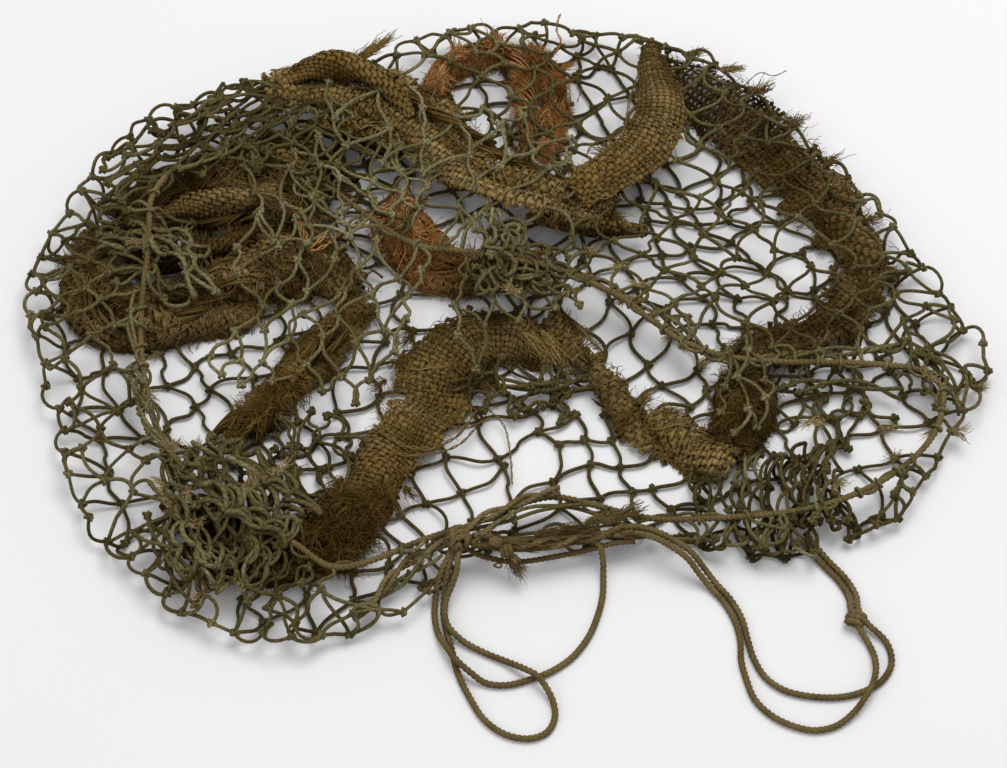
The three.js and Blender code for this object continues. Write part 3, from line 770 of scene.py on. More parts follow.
STRAW = FibreFinish(
    "straw_fibre", "net_cord", (0.27, 0.20, 0.09), (0.40, 0.32, 0.17), (0.15, 0.11, 0.05),
    turns=400.0, fibre=1500.0, gloss=0.1,
)


# --- The knotted net ------------------------------------------------------------------


def knot_shape(size: float) -> Array:
    """Middle of the cord in one mesh knot, a closed three-lobed turn, shape (12, 3)."""
    turn = np.arange(12) * (TURN / 12)
    x = np.sin(turn) + 1.7 * np.sin(2 * turn)
    y = np.cos(turn) - 1.7 * np.cos(2 * turn)
    return np.stack([x, y, -1.5 * np.sin(3 * turn)], -1) * size


def turned_copies(shape: Array, places: Array, maker: Maker, tilt: float) -> Array:
    """Copies of a path at places, each turned at random about +Z and leant a little.

    Args:
        shape: Path, shape (points, 3).
        places: Where the copies go, shape (copies, 3).
        maker: Random source.
        tilt: Most that a copy leans, radians.

    Returns:
        Paths, shape (copies, points, 3).
    """
    spin = maker.uniform(0, TURN, (len(places), 1))
    lean = maker.uniform(-tilt, tilt, (len(places), 1))
    x = shape[:, 0] * np.cos(spin) - shape[:, 1] * np.sin(spin)
    y = shape[:, 0] * np.sin(spin) + shape[:, 1] * np.cos(spin)
    z = shape[:, 2]
    leant = (x, y * np.cos(lean) - z * np.sin(lean), y * np.sin(lean) + z * np.cos(lean))
    return np.stack(leant, -1) + places[:, None]


class Zone(Enum):
    """Which part of the net a leg belongs to, and the piece that it goes into."""

    LOWER = "net_lower"
    UPPER = "net_upper"
    RIM = "net_rim"
    BUNCH = "net_bunches"
    VEIL = "net_veil"


@dataclass(frozen=True)
class Leg:
    """Cord between two knots, and the plan direction that it is made to bow towards."""

    start: int
    end: int
    length: float
    tint: float
    swing: tuple[float, float] | None = None
    girth: float = 1.0
    zone: Zone = Zone.LOWER


@dataclass
class Web:
    """Knots and the legs of cord between them."""

    places: Array
    axes: Array
    legs: list[Leg] = field(default_factory=list)

    def ends(self) -> Array:
        """Knot numbers at the ends of the legs, shape (legs, 2)."""
        return np.array([(leg.start, leg.end) for leg in self.legs], int).reshape(-1, 2)

    def degree(self) -> Array:
        """Number of legs at each knot."""
        return np.bincount(self.ends().ravel(), minlength=len(self.places))

    def gap(self, start: int, end: int) -> float:
        """Straight distance between two knots."""
        return math.dist(self.places[start], self.places[end])

    def curves(self, maker: Maker, hold: float, rise: float, flow: float, count: int) -> Array:
        """Paths of all the legs: each bows to one side by its slack.

        Args:
            maker: Random source.
            hold: How far the knots pull their legs into pairs, 0 to 1.
            rise: Spread of the angles that the bows stand at over the level, radians.
            flow: How far neighbouring legs bow the same way, 0 to 1.
            count: Points on each leg.

        Returns:
            Points, shape (legs, count, 3).
        """
        first, last = self.ends().T
        start, end = self.places[first], self.places[last]
        gap = np.linalg.norm(end - start, axis=1)
        many = len(gap)
        ahead = unit(end - start)
        length = np.array([leg.length for leg in self.legs])
        slack = np.maximum(length / gap - 1, 0.004)
        bow = np.minimum(np.sqrt(6 * slack), 2.2) * maker.uniform(0.8, 1.15, many)
        level = unit(np.cross(UP, ahead) + 1e-6)
        middle = (start + end) / 2
        way = np.stack([Drift(seed, 0.09).at(*middle.T[:2]) for seed in (5, 6)], -1)
        side = flow * np.sum(way * level[:, :2], axis=1) + (1 - flow) * maker.normal(0, 0.7, many)
        swings = np.array([leg.swing or (0.0, 0.0) for leg in self.legs])
        made = swings.any(axis=1)
        side = np.where(made, np.sum(level[:, :2] * swings, axis=1), side)
        side = np.where(side < 0, -1.0, 1.0)
        stand = maker.normal(0.15, rise, many)
        over = np.cross(ahead, level)
        out = level * (side * np.cos(stand))[:, None] + over * np.sin(stand)[:, None]
        twist = np.where((maker.uniform(size=many) < 0.22) & ~made, -1.0, 1.0)
        leans = []
        for axis, along, turn in ((self.axes[first], ahead, 1.0), (self.axes[last], -ahead, twist)):
            lean = along * np.cos(bow)[:, None] + out * (np.sin(bow) * turn)[:, None]
            # Rounded, since a leg at right angles to its knot's axis isn't pulled either way.
            near = np.sign(np.round(np.sum(axis * along[:, :2], axis=1), 9)) + 1e-9
            pull = np.concatenate([axis * near[:, None], np.zeros((many, 1))], 1)
            leans.append(unit(lean * (1 - hold) + pull * hold))
        paths = set_length_curves(start, end, leans[0], leans[1], length, count)
        return above(paths, NET_CORD * 0.52)


@dataclass(frozen=True)
class Layer:
    """A sheet of square mesh laid over the bag."""

    pitch: float
    turn: float
    upper: bool
    warp: float
    jitter: float
    seed: int
    baggy: float = 0.12
    missing: float = 0.02

    def web(self) -> Web:
        """Lays the layer's knots in plan and height, and ties their legs."""
        maker, seed = np.random.default_rng(self.seed), self.seed
        reach = int(0.30 / self.pitch) + 1
        a, b = np.meshgrid(*[np.arange(-reach, reach + 1)] * 2, indexing="ij")
        turn = math.radians(self.turn)
        x = (a * math.cos(turn) - b * math.sin(turn)) * self.pitch
        y = (a * math.sin(turn) + b * math.cos(turn)) * self.pitch
        push_x, push_y = (
            Drift(seed + index, 0.15).at(x, y) + 0.45 * Drift(seed + 2 + index, 0.06).at(x, y)
            for index in (1, 2)
        )
        x = x + self.warp * push_x + maker.normal(0, self.jitter, a.shape)
        y = y + self.warp * push_y + maker.normal(0, self.jitter, a.shape)
        bearing, away = BAG.polar(x, y)
        kept = away < BAG.edge(bearing) - 9 * MM
        sag = 1.6 * MM * Drift(seed + 5, 0.07).at(x, y)
        if self.upper:
            kept &= away > BAG.columns(bearing)[1] + 6 * MM
            z = BAG.top(x, y) - 2.2 * MM + sag
        else:
            z = BAG.bottom(x, y) + 1.7 * MM + 0.3 * np.abs(sag)
        numbers = np.full(a.shape, -1)
        numbers[kept] = np.arange(kept.sum())
        lean = turn + math.pi / 4 + 0.5 * Drift(seed + 6, 0.2).at(x, y)
        axes = np.stack([np.cos(lean), np.sin(lean)], -1)[kept]
        web = Web(np.stack([x, y, z], -1)[kept], axes)
        brightness = Drift(seed + 7, 0.12)
        for one, two in ((numbers[:-1], numbers[1:]), (numbers[:, :-1], numbers[:, 1:])):
            both = (one >= 0) & (two >= 0)
            for p, q in zip(one[both].tolist(), two[both].tolist()):
                gap = web.gap(p, q)
                if gap > 1.6 * self.pitch or maker.uniform() < self.missing:
                    continue
                cloud = float(brightness.at(*web.places[p, :2]))
                tone = 1.0 + 0.10 * cloud + maker.normal(0, 0.08)
                slack = 0.01 + 0.06 * maker.uniform() + 0.12 * (maker.uniform() < self.baggy)
                web.legs.append(Leg(p, q, gap * (1 + slack), tone))
        return web


@dataclass(frozen=True)
class Bunch:
    """A place where slack mesh is gathered or bunched up: mm, and degrees for its turn.

    Its legs run mostly along its depth, in rows of diamonds.
    """

    x: float
    y: float
    across: int
    deep: int
    step: tuple[float, float]
    turn: float
    low: float
    high: float
    zone: Zone = Zone.BUNCH
    tint: float = 1.0
    stray: float = 2.4
    most: float = 1.75
    hem: bool = False
    girth: float = 1.0
    knotted: float = 1.0


BUNCHES = (
    Bunch(-150, 90, 7, 7, (6.0, 30), -55, -3, 3, most=1.45, knotted=0.8, girth=1.08),
    Bunch(-170, 34, 10, 4, (5.0, 28), 82, -4, 3, most=1.25, girth=1.1, knotted=0.7),
    Bunch(-154, 22, 6, 5, (6.0, 24), 40, -1, 5, girth=1.2, knotted=0.4),
    Bunch(-116, 112, 6, 5, (9, 29), -62, -3, 3, most=1.45, knotted=0.8, girth=1.08),
    Bunch(-126, -114, 8, 6, (6.4, 25), 12, -6, 4, girth=1.35, knotted=0.3, tint=0.94),
    Bunch(-116, -106, 7, 6, (6.0, 25), 52, -1, 6, girth=1.35, knotted=0.3, tint=0.88),
    Bunch(-140, -138, 8, 4, (6.0, 28), 28, -4, 1, most=1.3, knotted=0.7),
    Bunch(-104, -140, 6, 4, (8, 28), -20, -4, 1, most=1.3, knotted=0.7),
    Bunch(-4, 21, 6, 6, (3.8, 16), 0, 0, 7, girth=1.15, knotted=0.3, tint=0.9),
    Bunch(14, 12, 6, 5, (4.6, 20), 65, -2, 3, most=1.6, knotted=0.5),
    Bunch(-112, -124, 9, 4, (5.4, 28), 8, -5, -1, girth=1.45, most=1.3, knotted=0.3, tint=0.7),
    Bunch(119, -106, 12, 4, (5.8, 30), -8, -5, -1, stray=1.3, most=1.25, hem=True, tint=1.12),
    Bunch(160, -110, 5, 3, (8, 26), 28, -5, -1, most=1.4),
    Bunch(-86, -78, 5, 4, (9, 30), 15, -18, -12, Zone.LOWER, 1.25, most=1.4),
    Bunch(150, -50, 5, 4, (11, 30), 4, -18, -12, Zone.LOWER, 1.25, most=1.4),
    Bunch(12, -44, 6, 3, (12, 24), 0, -18, -12, Zone.LOWER, 1.2, most=1.4),
    Bunch(-22, 92, 7, 4, (21, 34), -24, 4, 8, Zone.VEIL, 1.0, 3.0, 1.12),
    Bunch(108, -50, 4, 4, (10, 28), 12, 2, 6, stray=2.0, most=1.35, tint=0.72),
    Bunch(142, -98, 6, 5, (4.2, 22), -6, -5, 3, tint=0.75, most=1.4, girth=1.1, knotted=0.5),
    Bunch(201, -60, 4, 4, (7.0, 24), 60, -3, 3, most=1.4, knotted=0.6),
    Bunch(190, -38, 4, 4, (6.0, 20), 20, -3, 2, most=1.4, knotted=0.6),
    Bunch(-90, -5, 7, 7, (15, 29), -10, -6, -2, Zone.VEIL, 0.95, 2.6, 1.12),
    Bunch(0, -6, 5, 4, (15, 29), 15, -5, -2, Zone.VEIL, 0.95, 2.6, 1.12),
    Bunch(-78, 80, 7, 7, (15, 29), 24, -3, 2, Zone.VEIL, 1.0, 2.6, 1.12),
)

# Places on the net that get painted shade: x, y and reach in mm, and the share of light lost.
SHADED_SPOTS = np.array([
    (-138, 92, 48, 0.34), (-104, 104, 30, 0.18), (-178, 40, 24, 0.15), (-96, -136, 26, 0.2),
    (142, -100, 18, 0.25), (8, 12, 20, 0.2),
], float)
DIMMED = {Zone.LOWER: 0.46, Zone.RIM: 0.80}  # brightness of zones that lie in shade
KNOT_SIZE = 0.67 * MM  # of the closed turn that draws a mesh knot
KNOT_REACH = 0.92 * MM  # radius of the cord in it

# The bundle holds the front edge straight: x from and to where it starts to, the mm that it
# takes to do so, the y that it does so beyond, and the y of the straight edge.
HELD_FRONT = (-34, 18, 92, 14, -95, -121)
# The hem takes the rim's place: x from and to, and the y beyond which it does.
HEM = (84, 150, -100)


@dataclass
class KnottedNet:
    """The whole net: two layers of mesh, the folded rim, the mouth and its bunches."""

    ring: Array
    seed: int = SEED
    lower: Layer = Layer(16.4 * MM, 24.0, False, 9.5 * MM, 2.1 * MM, 11)
    upper: Layer = Layer(15.2 * MM, 50.0, True, 7.5 * MM, 2.1 * MM, 29, 0.16, 0.10)
    rim_step: float = 12.8 * MM
    hitch_step: float = 10.5 * MM

    def __post_init__(self) -> None:
        """Starts with the draw cord's hitches and no knots."""
        self.maker = np.random.default_rng(self.seed)
        self.web = Web(np.empty((0, 3)), np.empty((0, 2)))
        self.knots: dict[Zone, list[int]] = {zone: [] for zone in Zone}
        self.hitch_places = even_steps(self.ring, self.hitch_step)[1:-1]

    def join(self, web: Web, zone: Zone) -> Array:
        """Adds a web's knots and legs to the net and returns its knots' numbers."""
        first = len(self.web.places)
        self.web.places = np.concatenate([self.web.places, web.places])
        self.web.axes = np.concatenate([self.web.axes, web.axes])
        for leg in web.legs:
            moved = replace(leg, start=leg.start + first, end=leg.end + first, zone=zone)
            self.web.legs.append(moved)
        return np.arange(first, len(self.web.places))

    def tie(
        self, ones: Array, others: Array, reach: float, most: tuple[int, int], zone: Zone
    ) -> None:
        """Ties near knots of two groups, nearest first, while both still have room.

        Args:
            ones: Knot numbers of the first group.
            others: Knot numbers of the second group.
            reach: Longest gap that is tied, mm.
            most: Most legs that this adds to a knot of the first group, and most legs
                in all at a knot of the second.
            zone: Zone of the new legs.
        """
        plan = self.web.places[:, :2]
        gaps = np.linalg.norm(plan[ones][:, None] - plan[others][None], axis=2)
        added = np.zeros(len(ones), int)
        degree = self.web.degree()
        for flat in np.argsort(gaps, axis=None):
            one, other = divmod(int(flat), len(others))
            if gaps[one, other] > reach * MM:
                break
            if added[one] >= most[0] or degree[others[other]] >= most[1]:
                continue
            ends = int(ones[one]), int(others[other])
            span = self.web.gap(*ends)
            length = MESH_SIDE * self.maker.uniform(0.9, 1.0)
            length = float(np.clip(length, span * 1.02, span * 1.3))
            tone = 1.0 + self.maker.normal(0, 0.08)
            self.web.legs.append(Leg(*ends, length, tone, zone=zone))
            added[one] += 1
            degree[others[other]] += 1

    def rim_knots(self) -> Array:
        """Lays the knots along the fold, with the scalloped legs between them."""
        maker, step = self.maker, self.rim_step
        bearing = np.linspace(0, 360, 721)
        plan = even_steps(BAG.placed(bearing, BAG.edge(bearing) - 3.2 * MM), step)[:-1]
        plan += maker.normal(0, 1.3 * MM, plan.shape)
        x, y = plan.T / MM
        first, rise, last, fall, beyond, edge = HELD_FRONT
        under = eased((x - first) / rise) * eased((last - x) / fall) * (y < beyond)
        plan[:, 1] += under * (edge * MM - plan[:, 1])
        x, y = plan.T / MM
        plan = plan[~((x > HEM[0]) & (x < HEM[1]) & (y < HEM[2]))]
        high = BAG.columns(BAG.polar(*plan.T)[0])[2]
        z = high * maker.uniform(0.3, 0.7, len(plan))
        along = unit(np.roll(plan, -1, 0) - np.roll(plan, 1, 0))
        outward = np.stack([along[:, 1], -along[:, 0]], -1)
        web = Web(np.concatenate([plan, z[:, None]], 1), outward)
        for index in range(len(plan)):
            ahead = (index + 1) % len(plan)
            gap = web.gap(index, ahead)
            if gap > 2 * step:
                continue
            tone = 0.9 + maker.normal(0, 0.08)
            loopy = 0.5 if plan[index, 0] < -0.1 else 0.2
            length = gap * (maker.uniform(1.0, 1.06) + 0.24 * (maker.uniform() < loopy))
            web.legs.append(Leg(index, ahead, length, tone, tuple(outward[index])))
        rim = self.join(web, Zone.RIM)
        self.knots[Zone.RIM] += rim.tolist()
        return rim

    def hitches(self) -> Array:
        """Lays the points where the mouth's meshes hang on the draw cord."""
        maker, places = self.maker, self.hitch_places
        along = unit(np.gradient(places[:, :2], axis=0))
        inward = np.stack([-along[:, 1], along[:, 0]], -1)
        web = Web(places, inward)
        for index in range(len(places) - 1):
            swing = inward[index] * maker.choice([-1.0, 1.0])
            if maker.uniform() < 0.5:
                length = web.gap(index, index + 1) * maker.uniform(1.05, 1.4)
                web.legs.append(Leg(index, index + 1, length, 1.0, tuple(swing)))
        return self.join(web, Zone.UPPER)

    def bunch(self, plan: Bunch) -> Array:
        """Lays one bunch of slack mesh over the upper layer."""
        maker = self.maker
        a, b = np.meshgrid(np.arange(plan.across), np.arange(plan.deep), indexing="ij")
        off = np.hypot(a / (plan.across - 1) - 0.5, b / (plan.deep - 1) - 0.5)
        along = (a + 0.5 * (b % 2) - (plan.across - 0.5) / 2) * plan.step[0]
        along = along + maker.normal(0, plan.stray, a.shape)
        deep = (b - (plan.deep - 1) / 2) * plan.step[1] / 2 + maker.normal(0, plan.stray, a.shape)
        turn = math.radians(plan.turn)
        x = (plan.x + along * math.cos(turn) - deep * math.sin(turn)) * MM
        y = (plan.y + along * math.sin(turn) + deep * math.cos(turn)) * MM
        bearing, away = BAG.polar(x, y)
        inside = (away < BAG.edge(bearing) - (5 - 4 * plan.hem) * MM) & (off < 0.62)
        lift = maker.uniform(plan.low, plan.high, a.shape) * MM
        z = np.maximum(BAG.top(x, y) - 1.5 * MM + lift * (1.2 - 1.2 * off), 2.5 * MM)
        numbers = np.full(a.shape, -1)
        numbers[inside] = np.arange(inside.sum())
        heading = turn + math.pi / 2 + maker.normal(0, 0.3, a.shape)
        axes = np.stack([np.cos(heading), np.sin(heading)], -1)[inside]
        web = Web(np.stack([x, y, z], -1)[inside], axes)
        for row in range(plan.deep - 1):
            for column in range(plan.across):
                for beside in (0, 1 if row % 2 else -1):
                    if not 0 <= column + beside < plan.across or maker.uniform() < 0.05:
                        continue
                    p, q = int(numbers[column, row]), int(numbers[column + beside, row + 1])
                    if p < 0 or q < 0:
                        continue
                    gap = web.gap(p, q)
                    length = MESH_SIDE * maker.uniform(0.9, 1.05)
                    length = float(np.clip(length, gap * 1.03, gap * plan.most))
                    tone = plan.tint * (1 + maker.normal(0, 0.12))
                    web.legs.append(Leg(p, q, length, tone, girth=plan.girth))
        for column in range(plan.across - 1 if plan.hem else 0):
            p, q = int(numbers[column, 0]), int(numbers[column + 1, 0])
            if p >= 0 and q >= 0:
                length = web.gap(p, q) * maker.uniform(1.6, 2.4)
                swing = (math.sin(turn), -math.cos(turn))
                web.legs.append(Leg(p, q, length, plan.tint, swing))
        made = self.join(web, plan.zone)
        self.knots[plan.zone] += [int(n) for n in made if maker.uniform() < plan.knotted]
        return made

    def prune(self) -> None:
        """Takes away the gathered legs that end at a knot with no other leg."""
        web = self.web
        for _ in range(4):
            dangling = (web.degree()[web.ends()] < 2).any(axis=1)
            web.legs = [
                leg for leg, hangs in zip(web.legs, dangling)
                if not hangs or leg.zone not in (Zone.BUNCH, Zone.VEIL)
            ]
        degree = web.degree()
        for zone, numbers in self.knots.items():
            self.knots[zone] = [index for index in numbers if degree[index] > 1]

    def build(self) -> None:
        """Ties the whole net and makes its pieces."""
        low = self.join(self.lower.web(), Zone.LOWER)
        high = self.join(self.upper.web(), Zone.UPPER)
        self.knots[Zone.LOWER] += low.tolist()
        self.knots[Zone.UPPER] += high.tolist()
        rim = self.rim_knots()
        hitch = self.hitches()
        self.tie(rim, low, 28, (2, 4), Zone.RIM)
        self.tie(rim, high, 28, (2, 4), Zone.RIM)
        self.tie(hitch, high, 30, (2, 4), Zone.UPPER)
        for plan in BUNCHES:
            knots = self.bunch(plan)
            if plan.hem or plan.zone is Zone.LOWER:
                self.tie(knots, low, 20, (1, 6), plan.zone)
            self.tie(knots, high, 19, (1, 5), plan.zone)
            if plan.zone is Zone.VEIL:
                self.tie(knots, hitch, 22, (1, 5), plan.zone)
        self.prune()
        log.info("net: %d knots, %d legs", len(self.web.places), len(self.web.legs))
        self.pieces()

    def pieces(self) -> None:
        """Turns knots and legs into meshes, one piece for each zone."""
        maker, web = self.maker, self.web
        calm = web.curves(maker, hold=0.26, rise=0.25, flow=0.25, count=8)
        lively = web.curves(maker, hold=0.10, rise=0.55, flow=0.75, count=10)
        tints, girths = np.array([(leg.tint, leg.girth) for leg in web.legs]).T[..., None]
        for zone in Zone:
            parts = Parts()
            mine = np.array([leg.zone is zone for leg in web.legs])
            paths = (lively if zone is Zone.BUNCH else calm)[mine]
            dim = DIMMED.get(zone, 1.0)
            thick = NET_CORD / 2 * maker.uniform(0.9, 1.08, (len(paths), 1)) * girths[mine]
            parts.tubes(paths, thick, 5, tints[mine] * dim * self.painted_light(paths, zone))
            places = web.places[self.knots[zone]]
            knots = turned_copies(knot_shape(KNOT_SIZE), places, maker, 0.6)
            # Painted highlight: the knots are lighter than the legs.
            light = dim * maker.uniform(1.0, 1.4, (len(places), 1))
            light = light * self.painted_light(places, zone)[:, None]
            parts.tubes(above(knots, NET_CORD / 2), KNOT_REACH, 5, light, closed=True)
            if zone is Zone.UPPER:
                self.wraps(parts)
            parts.build(zone.value, NET, *(["net"] if zone is Zone.UPPER else []))

    def painted_light(self, places: Array, zone: Zone) -> Array:
        """Painted light on cord at places, none on the lower layer: painted shade where it lies low
        and at the shaded spots, painted highlight where it rides high.
        """
        if zone is Zone.LOWER:
            return np.ones(places.shape[:-1])
        away = np.linalg.norm(places[..., None, :2] / MM - SHADED_SPOTS[:, :2], axis=-1) / SHADED_SPOTS[:, 2]
        spot_shade = 1 - (np.exp(-(away**2)) * SHADED_SPOTS[:, 3]).sum(-1)
        x, y, z = np.moveaxis(places, -1, 0)
        over = (z - BAG.top(x, y)) / MM
        if zone is Zone.RIM:
            return spot_shade * np.clip(z / (10 * MM), 0.5, 1.0)
        if zone is Zone.VEIL:
            return spot_shade * np.clip(1.0 + 0.04 * over + 0.16, 0.7, 1.15)
        return spot_shade * np.clip(0.84 + 0.11 * over, 0.22, 1.35)

    def wraps(self, parts: Parts) -> None:
        """Adds the turn that each hitch takes round the draw cord."""
        places = self.hitch_places
        along = unit(np.gradient(places, axis=0))
        chosen = self.maker.uniform(size=len(places)) < 0.45
        places, along = places[chosen], along[chosen]
        side, over = across_and_over(unit(along + self.maker.normal(0, 0.25, along.shape)))
        turn = (np.arange(10) * (TURN / 10))[:, None]
        reach = DRAW_CORD / 2 + NET_CORD * 0.42
        out = np.cos(turn) * side[:, None] + np.sin(turn) * over[:, None]
        parts.tubes(places[:, None] + reach * out, NET_CORD / 2 * 0.95, 5, closed=True)


# --- Loose fibres and rolls -----------------------------------------------------------


@dataclass(frozen=True)
class Roll:
    """A rolled or twisted length, or a loose yarn: radius and route in mm."""

    radius: float
    tint: float
    route: tuple[Place, ...]


@dataclass(frozen=True)
class Fan:
    """Fibres that spread from a root to a tip, in mm."""

    root: Place
    tip: Place
    spread: float
    count: int
    tint: float = 1.0
    width: float = 0.45

    @classmethod
    def of(cls, row: tuple[float, ...]) -> "Fan":
        """A fan from a plain row: root, tip, and the other fields in their order."""
        return cls(row[:3], row[3:6], *row[6:])

    def comb(self, parts: Parts, maker: Maker) -> None:
        """Adds it as a combed-out or frayed end."""
        many, spread = (self.count, 1, 3), self.spread * MM
        share = np.linspace(0, 1, 5)[None, :, None]
        root = np.array(self.root) * MM + maker.normal(0, 0.12 * spread, many)
        reach = maker.uniform(0.45, 1.1, (self.count, 1, 1))
        tip = root + (np.array(self.tip) - self.root) * MM * reach
        tip = tip + maker.normal(0, spread, many) * (1, 1, 0.4)
        curl = maker.normal(0, 0.35 * spread, (self.count, 2, 3))
        bend = curl[:, :1] * np.sin(share * math.pi) + curl[:, 1:] * np.sin(share * TURN)
        paths = above(root + (tip - root) * share + bend, 0.6 * MM)
        lean = np.array([0.0, -0.15, 1.0]) + maker.normal(0, 0.3, many)
        each = (self.count, 1)
        width = self.width * MM * np.linspace(1.0, 0.4, 5) * maker.uniform(0.6, 1.3, each)
        tone = 0.92 * self.tint * maker.uniform(0.55, 1.25, each)
        parts.ribbons(paths, np.broadcast_to(unit(lean), paths.shape), width, 0.0, tone, plain=True)


def loose_yarn(parts: Parts, maker: Maker, yarn: Roll) -> None:
    """Adds one loose yarn, as two fine plies that part a little."""
    line = routed(yarn.route, 1.5 * MM)
    run = runs(line[None])[0]
    radius = yarn.radius * MM
    for ply in range(2):
        turn = run / (11 * MM) * TURN + ply * math.pi + maker.normal(0, 0.3)
        part = radius * (0.6 + 0.5 * np.sin(run / (17 * MM) + ply) ** 2)
        shift = np.stack([np.cos(turn), np.sin(turn), 0.5 * np.sin(turn)], -1) * part[:, None]
        tone = yarn.tint * maker.uniform(0.85, 1.15)
        parts.tubes(above(line + shift, YARN_LOWEST)[None], radius * 0.62, 5, tone)


# --- Draw cord, knots and loops -------------------------------------------------------

KNOT = np.array([-20.0, -130.0, 18.1]) * MM
STRANDS = np.array([0.82, 1.04, 1.04, 0.82] * 3)  # section of three strands laid together
RING_INSIDE = 4.3 * MM  # from the mouth's edge to the middle of the ring
RING_GAP = 4.4  # degrees from the middle of the front knot to the ring's end
RING_CLIMB = 18.0  # degrees over which the ring climbs to its knot
RING_TURN = 15.0  # degrees over which it turns in to it
WRAP_STEP = 0.7 * MM  # between sections of cord that is wrapped round something

# Where the ring lies further out and higher than the mouth's edge: bearing and reach in
# degrees, then mm out and mm up.
RING_OUT = np.array([
    (352, 13, 8, 1), (140, 9, 25, -7), (150, 9, 3, 4), (168, 10, 1, 3), (184, 12, 3.5, 0),
    (-8, 13, 8, 1),
], float)


def ring_route() -> Array:
    """Route of the draw cord's ring, from one side of its knot to the other."""
    bearing_of_knot, distance_of_knot = BAG.polar(KNOT[0], KNOT[1])
    turned = RING_GAP + (360 - 2 * RING_GAP) * np.linspace(0, 1, 97)
    bearing = bearing_of_knot + turned
    _, mouth, _, lip = BAG.columns(bearing)
    edge = BAG.placed(bearing, mouth)
    ahead, behind = (
        BAG.placed(beside, BAG.columns(beside)[1]) for beside in (bearing + 1, bearing - 1)
    )
    along = unit(ahead - behind)
    inward = np.stack([-along[:, 1], along[:, 0]], -1)
    nearest = np.minimum(turned, 360 - turned) - RING_GAP
    climb = 1 - eased(nearest / RING_CLIMB)
    turn = (1 - np.clip(nearest / RING_TURN, 0, 1))[:, None] ** 2
    height = lip + BAG.heaped(*edge.T) - SKIN / 2 + BAG.pushed(bearing, RING_OUT, 3)
    plan = edge + inward * (RING_INSIDE - BAG.pushed(bearing, RING_OUT, 2))[:, None]
    plan += (BAG.placed(bearing, distance_of_knot) - plan) * turn
    z = height + (KNOT[2] - height) * climb
    return smooth_route(np.concatenate([plan, z[:, None]], 1), 12)


@dataclass(frozen=True)
class LooseCord:
    """A free length of draw cord, its route in mm, and the CAD solids it stands for."""

    name: str
    stands_for: tuple[str, ...]
    route: tuple[Place, ...]
    lay: str = "loose"
    far_end: str = "object"

    def points(self) -> Array:
        """Middle of the cord, in metres, nine points to each turn of its lay."""
        return routed(self.route, CORD_STEP)


LOOSE_CORDS = (
    LooseCord("loop_left_outer_cord", ("loop_left_outer",), (
        (38, -127.5, 15.5), (42, -129.5, 12.5), (43.6, -133, 8), (44, -138, 3.6),
        (43.6, -149, 1.6), (41, -160, 1.6), (37, -170, 1.6), (30, -180, 1.6), (21, -187, 1.6),
        (12, -191, 1.6), (1, -194, 1.6), (-8, -193, 2), (-14, -189.5, 4.4), (-20, -184, 5.5),
        (-25, -176, 4.2), (-28.5, -168, 2), (-30, -160, 1.6), (-30, -154, 2), (-29, -147, 6.5),
        (-26, -140, 12.5), (-22.5, -134, 16.5),
    )),
    LooseCord("loop_left_inner_cord", ("loop_left_inner",), (
        (-18.5, -132, 18), (-19.8, -138, 16.8), (-20.4, -143, 14.4), (-22.4, -148, 10),
        (-24.8, -153, 6.4), (-25.6, -159, 4.9), (-24.2, -166, 4.6), (-17.5, -172.6, 2.4),
        (-8, -178, 1.6), (2, -183, 2.4), (9, -187.5, 4.6), (14, -191, 5.5), (18, -196, 4.6),
        (21.5, -203, 2), (22, -210, 1.6), (18.5, -217, 1.6), (11, -220, 1.6), (1, -218, 1.6),
        (-8, -211, 1.6), (-15, -199, 1.6), (-20, -187, 1.6), (-22.5, -176, 1.6), (-25, -166, 1.6),
        (-26.2, -158, 1.6), (-26, -152, 2.2), (-25.4, -146, 7), (-23.5, -139, 13),
        (-21, -133.5, 16.8),
    )),
    LooseCord("loop_right_upper_cord", ("loop_right_upper", "loop_right_neck_a"), (
        (50, -122.8, 15.2), (57.8, -121.6, 14.8), (66, -123.5, 14.8), (74, -128, 15),
        (82, -133, 12.8), (88, -138, 7), (93, -143, 3), (99.6, -151, 1.6), (104.2, -161, 1.6),
        (106.2, -171, 1.6), (108.5, -181, 1.6), (113, -190, 1.6), (120, -196, 1.6),
        (129, -199, 1.6), (143, -200, 1.6), (154, -197.5, 1.6), (163, -192, 1.6),
        (168, -183, 1.6), (166.5, -173, 1.8), (158.9, -164.8, 3.6), (156, -160.5, 4),
        (155, -156, 3.2), (154.8, -149, 1.7), (150.6, -140, 1.6), (143.5, -131, 1.8),
        (139, -125, 2.6), (134, -118, 4),
    )),
    LooseCord("loop_right_lower_cord", ("loop_right_lower", "loop_right_neck_b"), (
        (48, -126, 14.6), (56.8, -124.7, 14.6), (64.8, -126.4, 14.6), (72.3, -130.7, 14.6),
        (80.2, -135.7, 12), (85.9, -140.6, 6.4), (90.6, -145, 2.7), (96.8, -152.6, 1.6),
        (101.1, -162, 1.6), (103, -171.6, 1.6), (103, -182, 1.6), (105, -192, 1.6),
        (108, -201, 1.6), (115, -209, 1.6), (124, -214, 1.6), (133, -216, 1.6), (142, -214, 1.8),
        (150, -208, 3), (155.5, -201, 4.9), (158.8, -195, 5.3), (160.6, -188, 4.7),
        (160.6, -180, 2.6), (158.6, -173.4, 2), (155.3, -167.6, 3.4), (152.8, -162, 4),
        (151.9, -156.6, 3.2), (151.6, -149.9, 1.7), (147.9, -141.9, 1.6), (141, -133.2, 1.8),
        (136.5, -127.2, 2.6), (131.4, -120.3, 4),
    )),
)


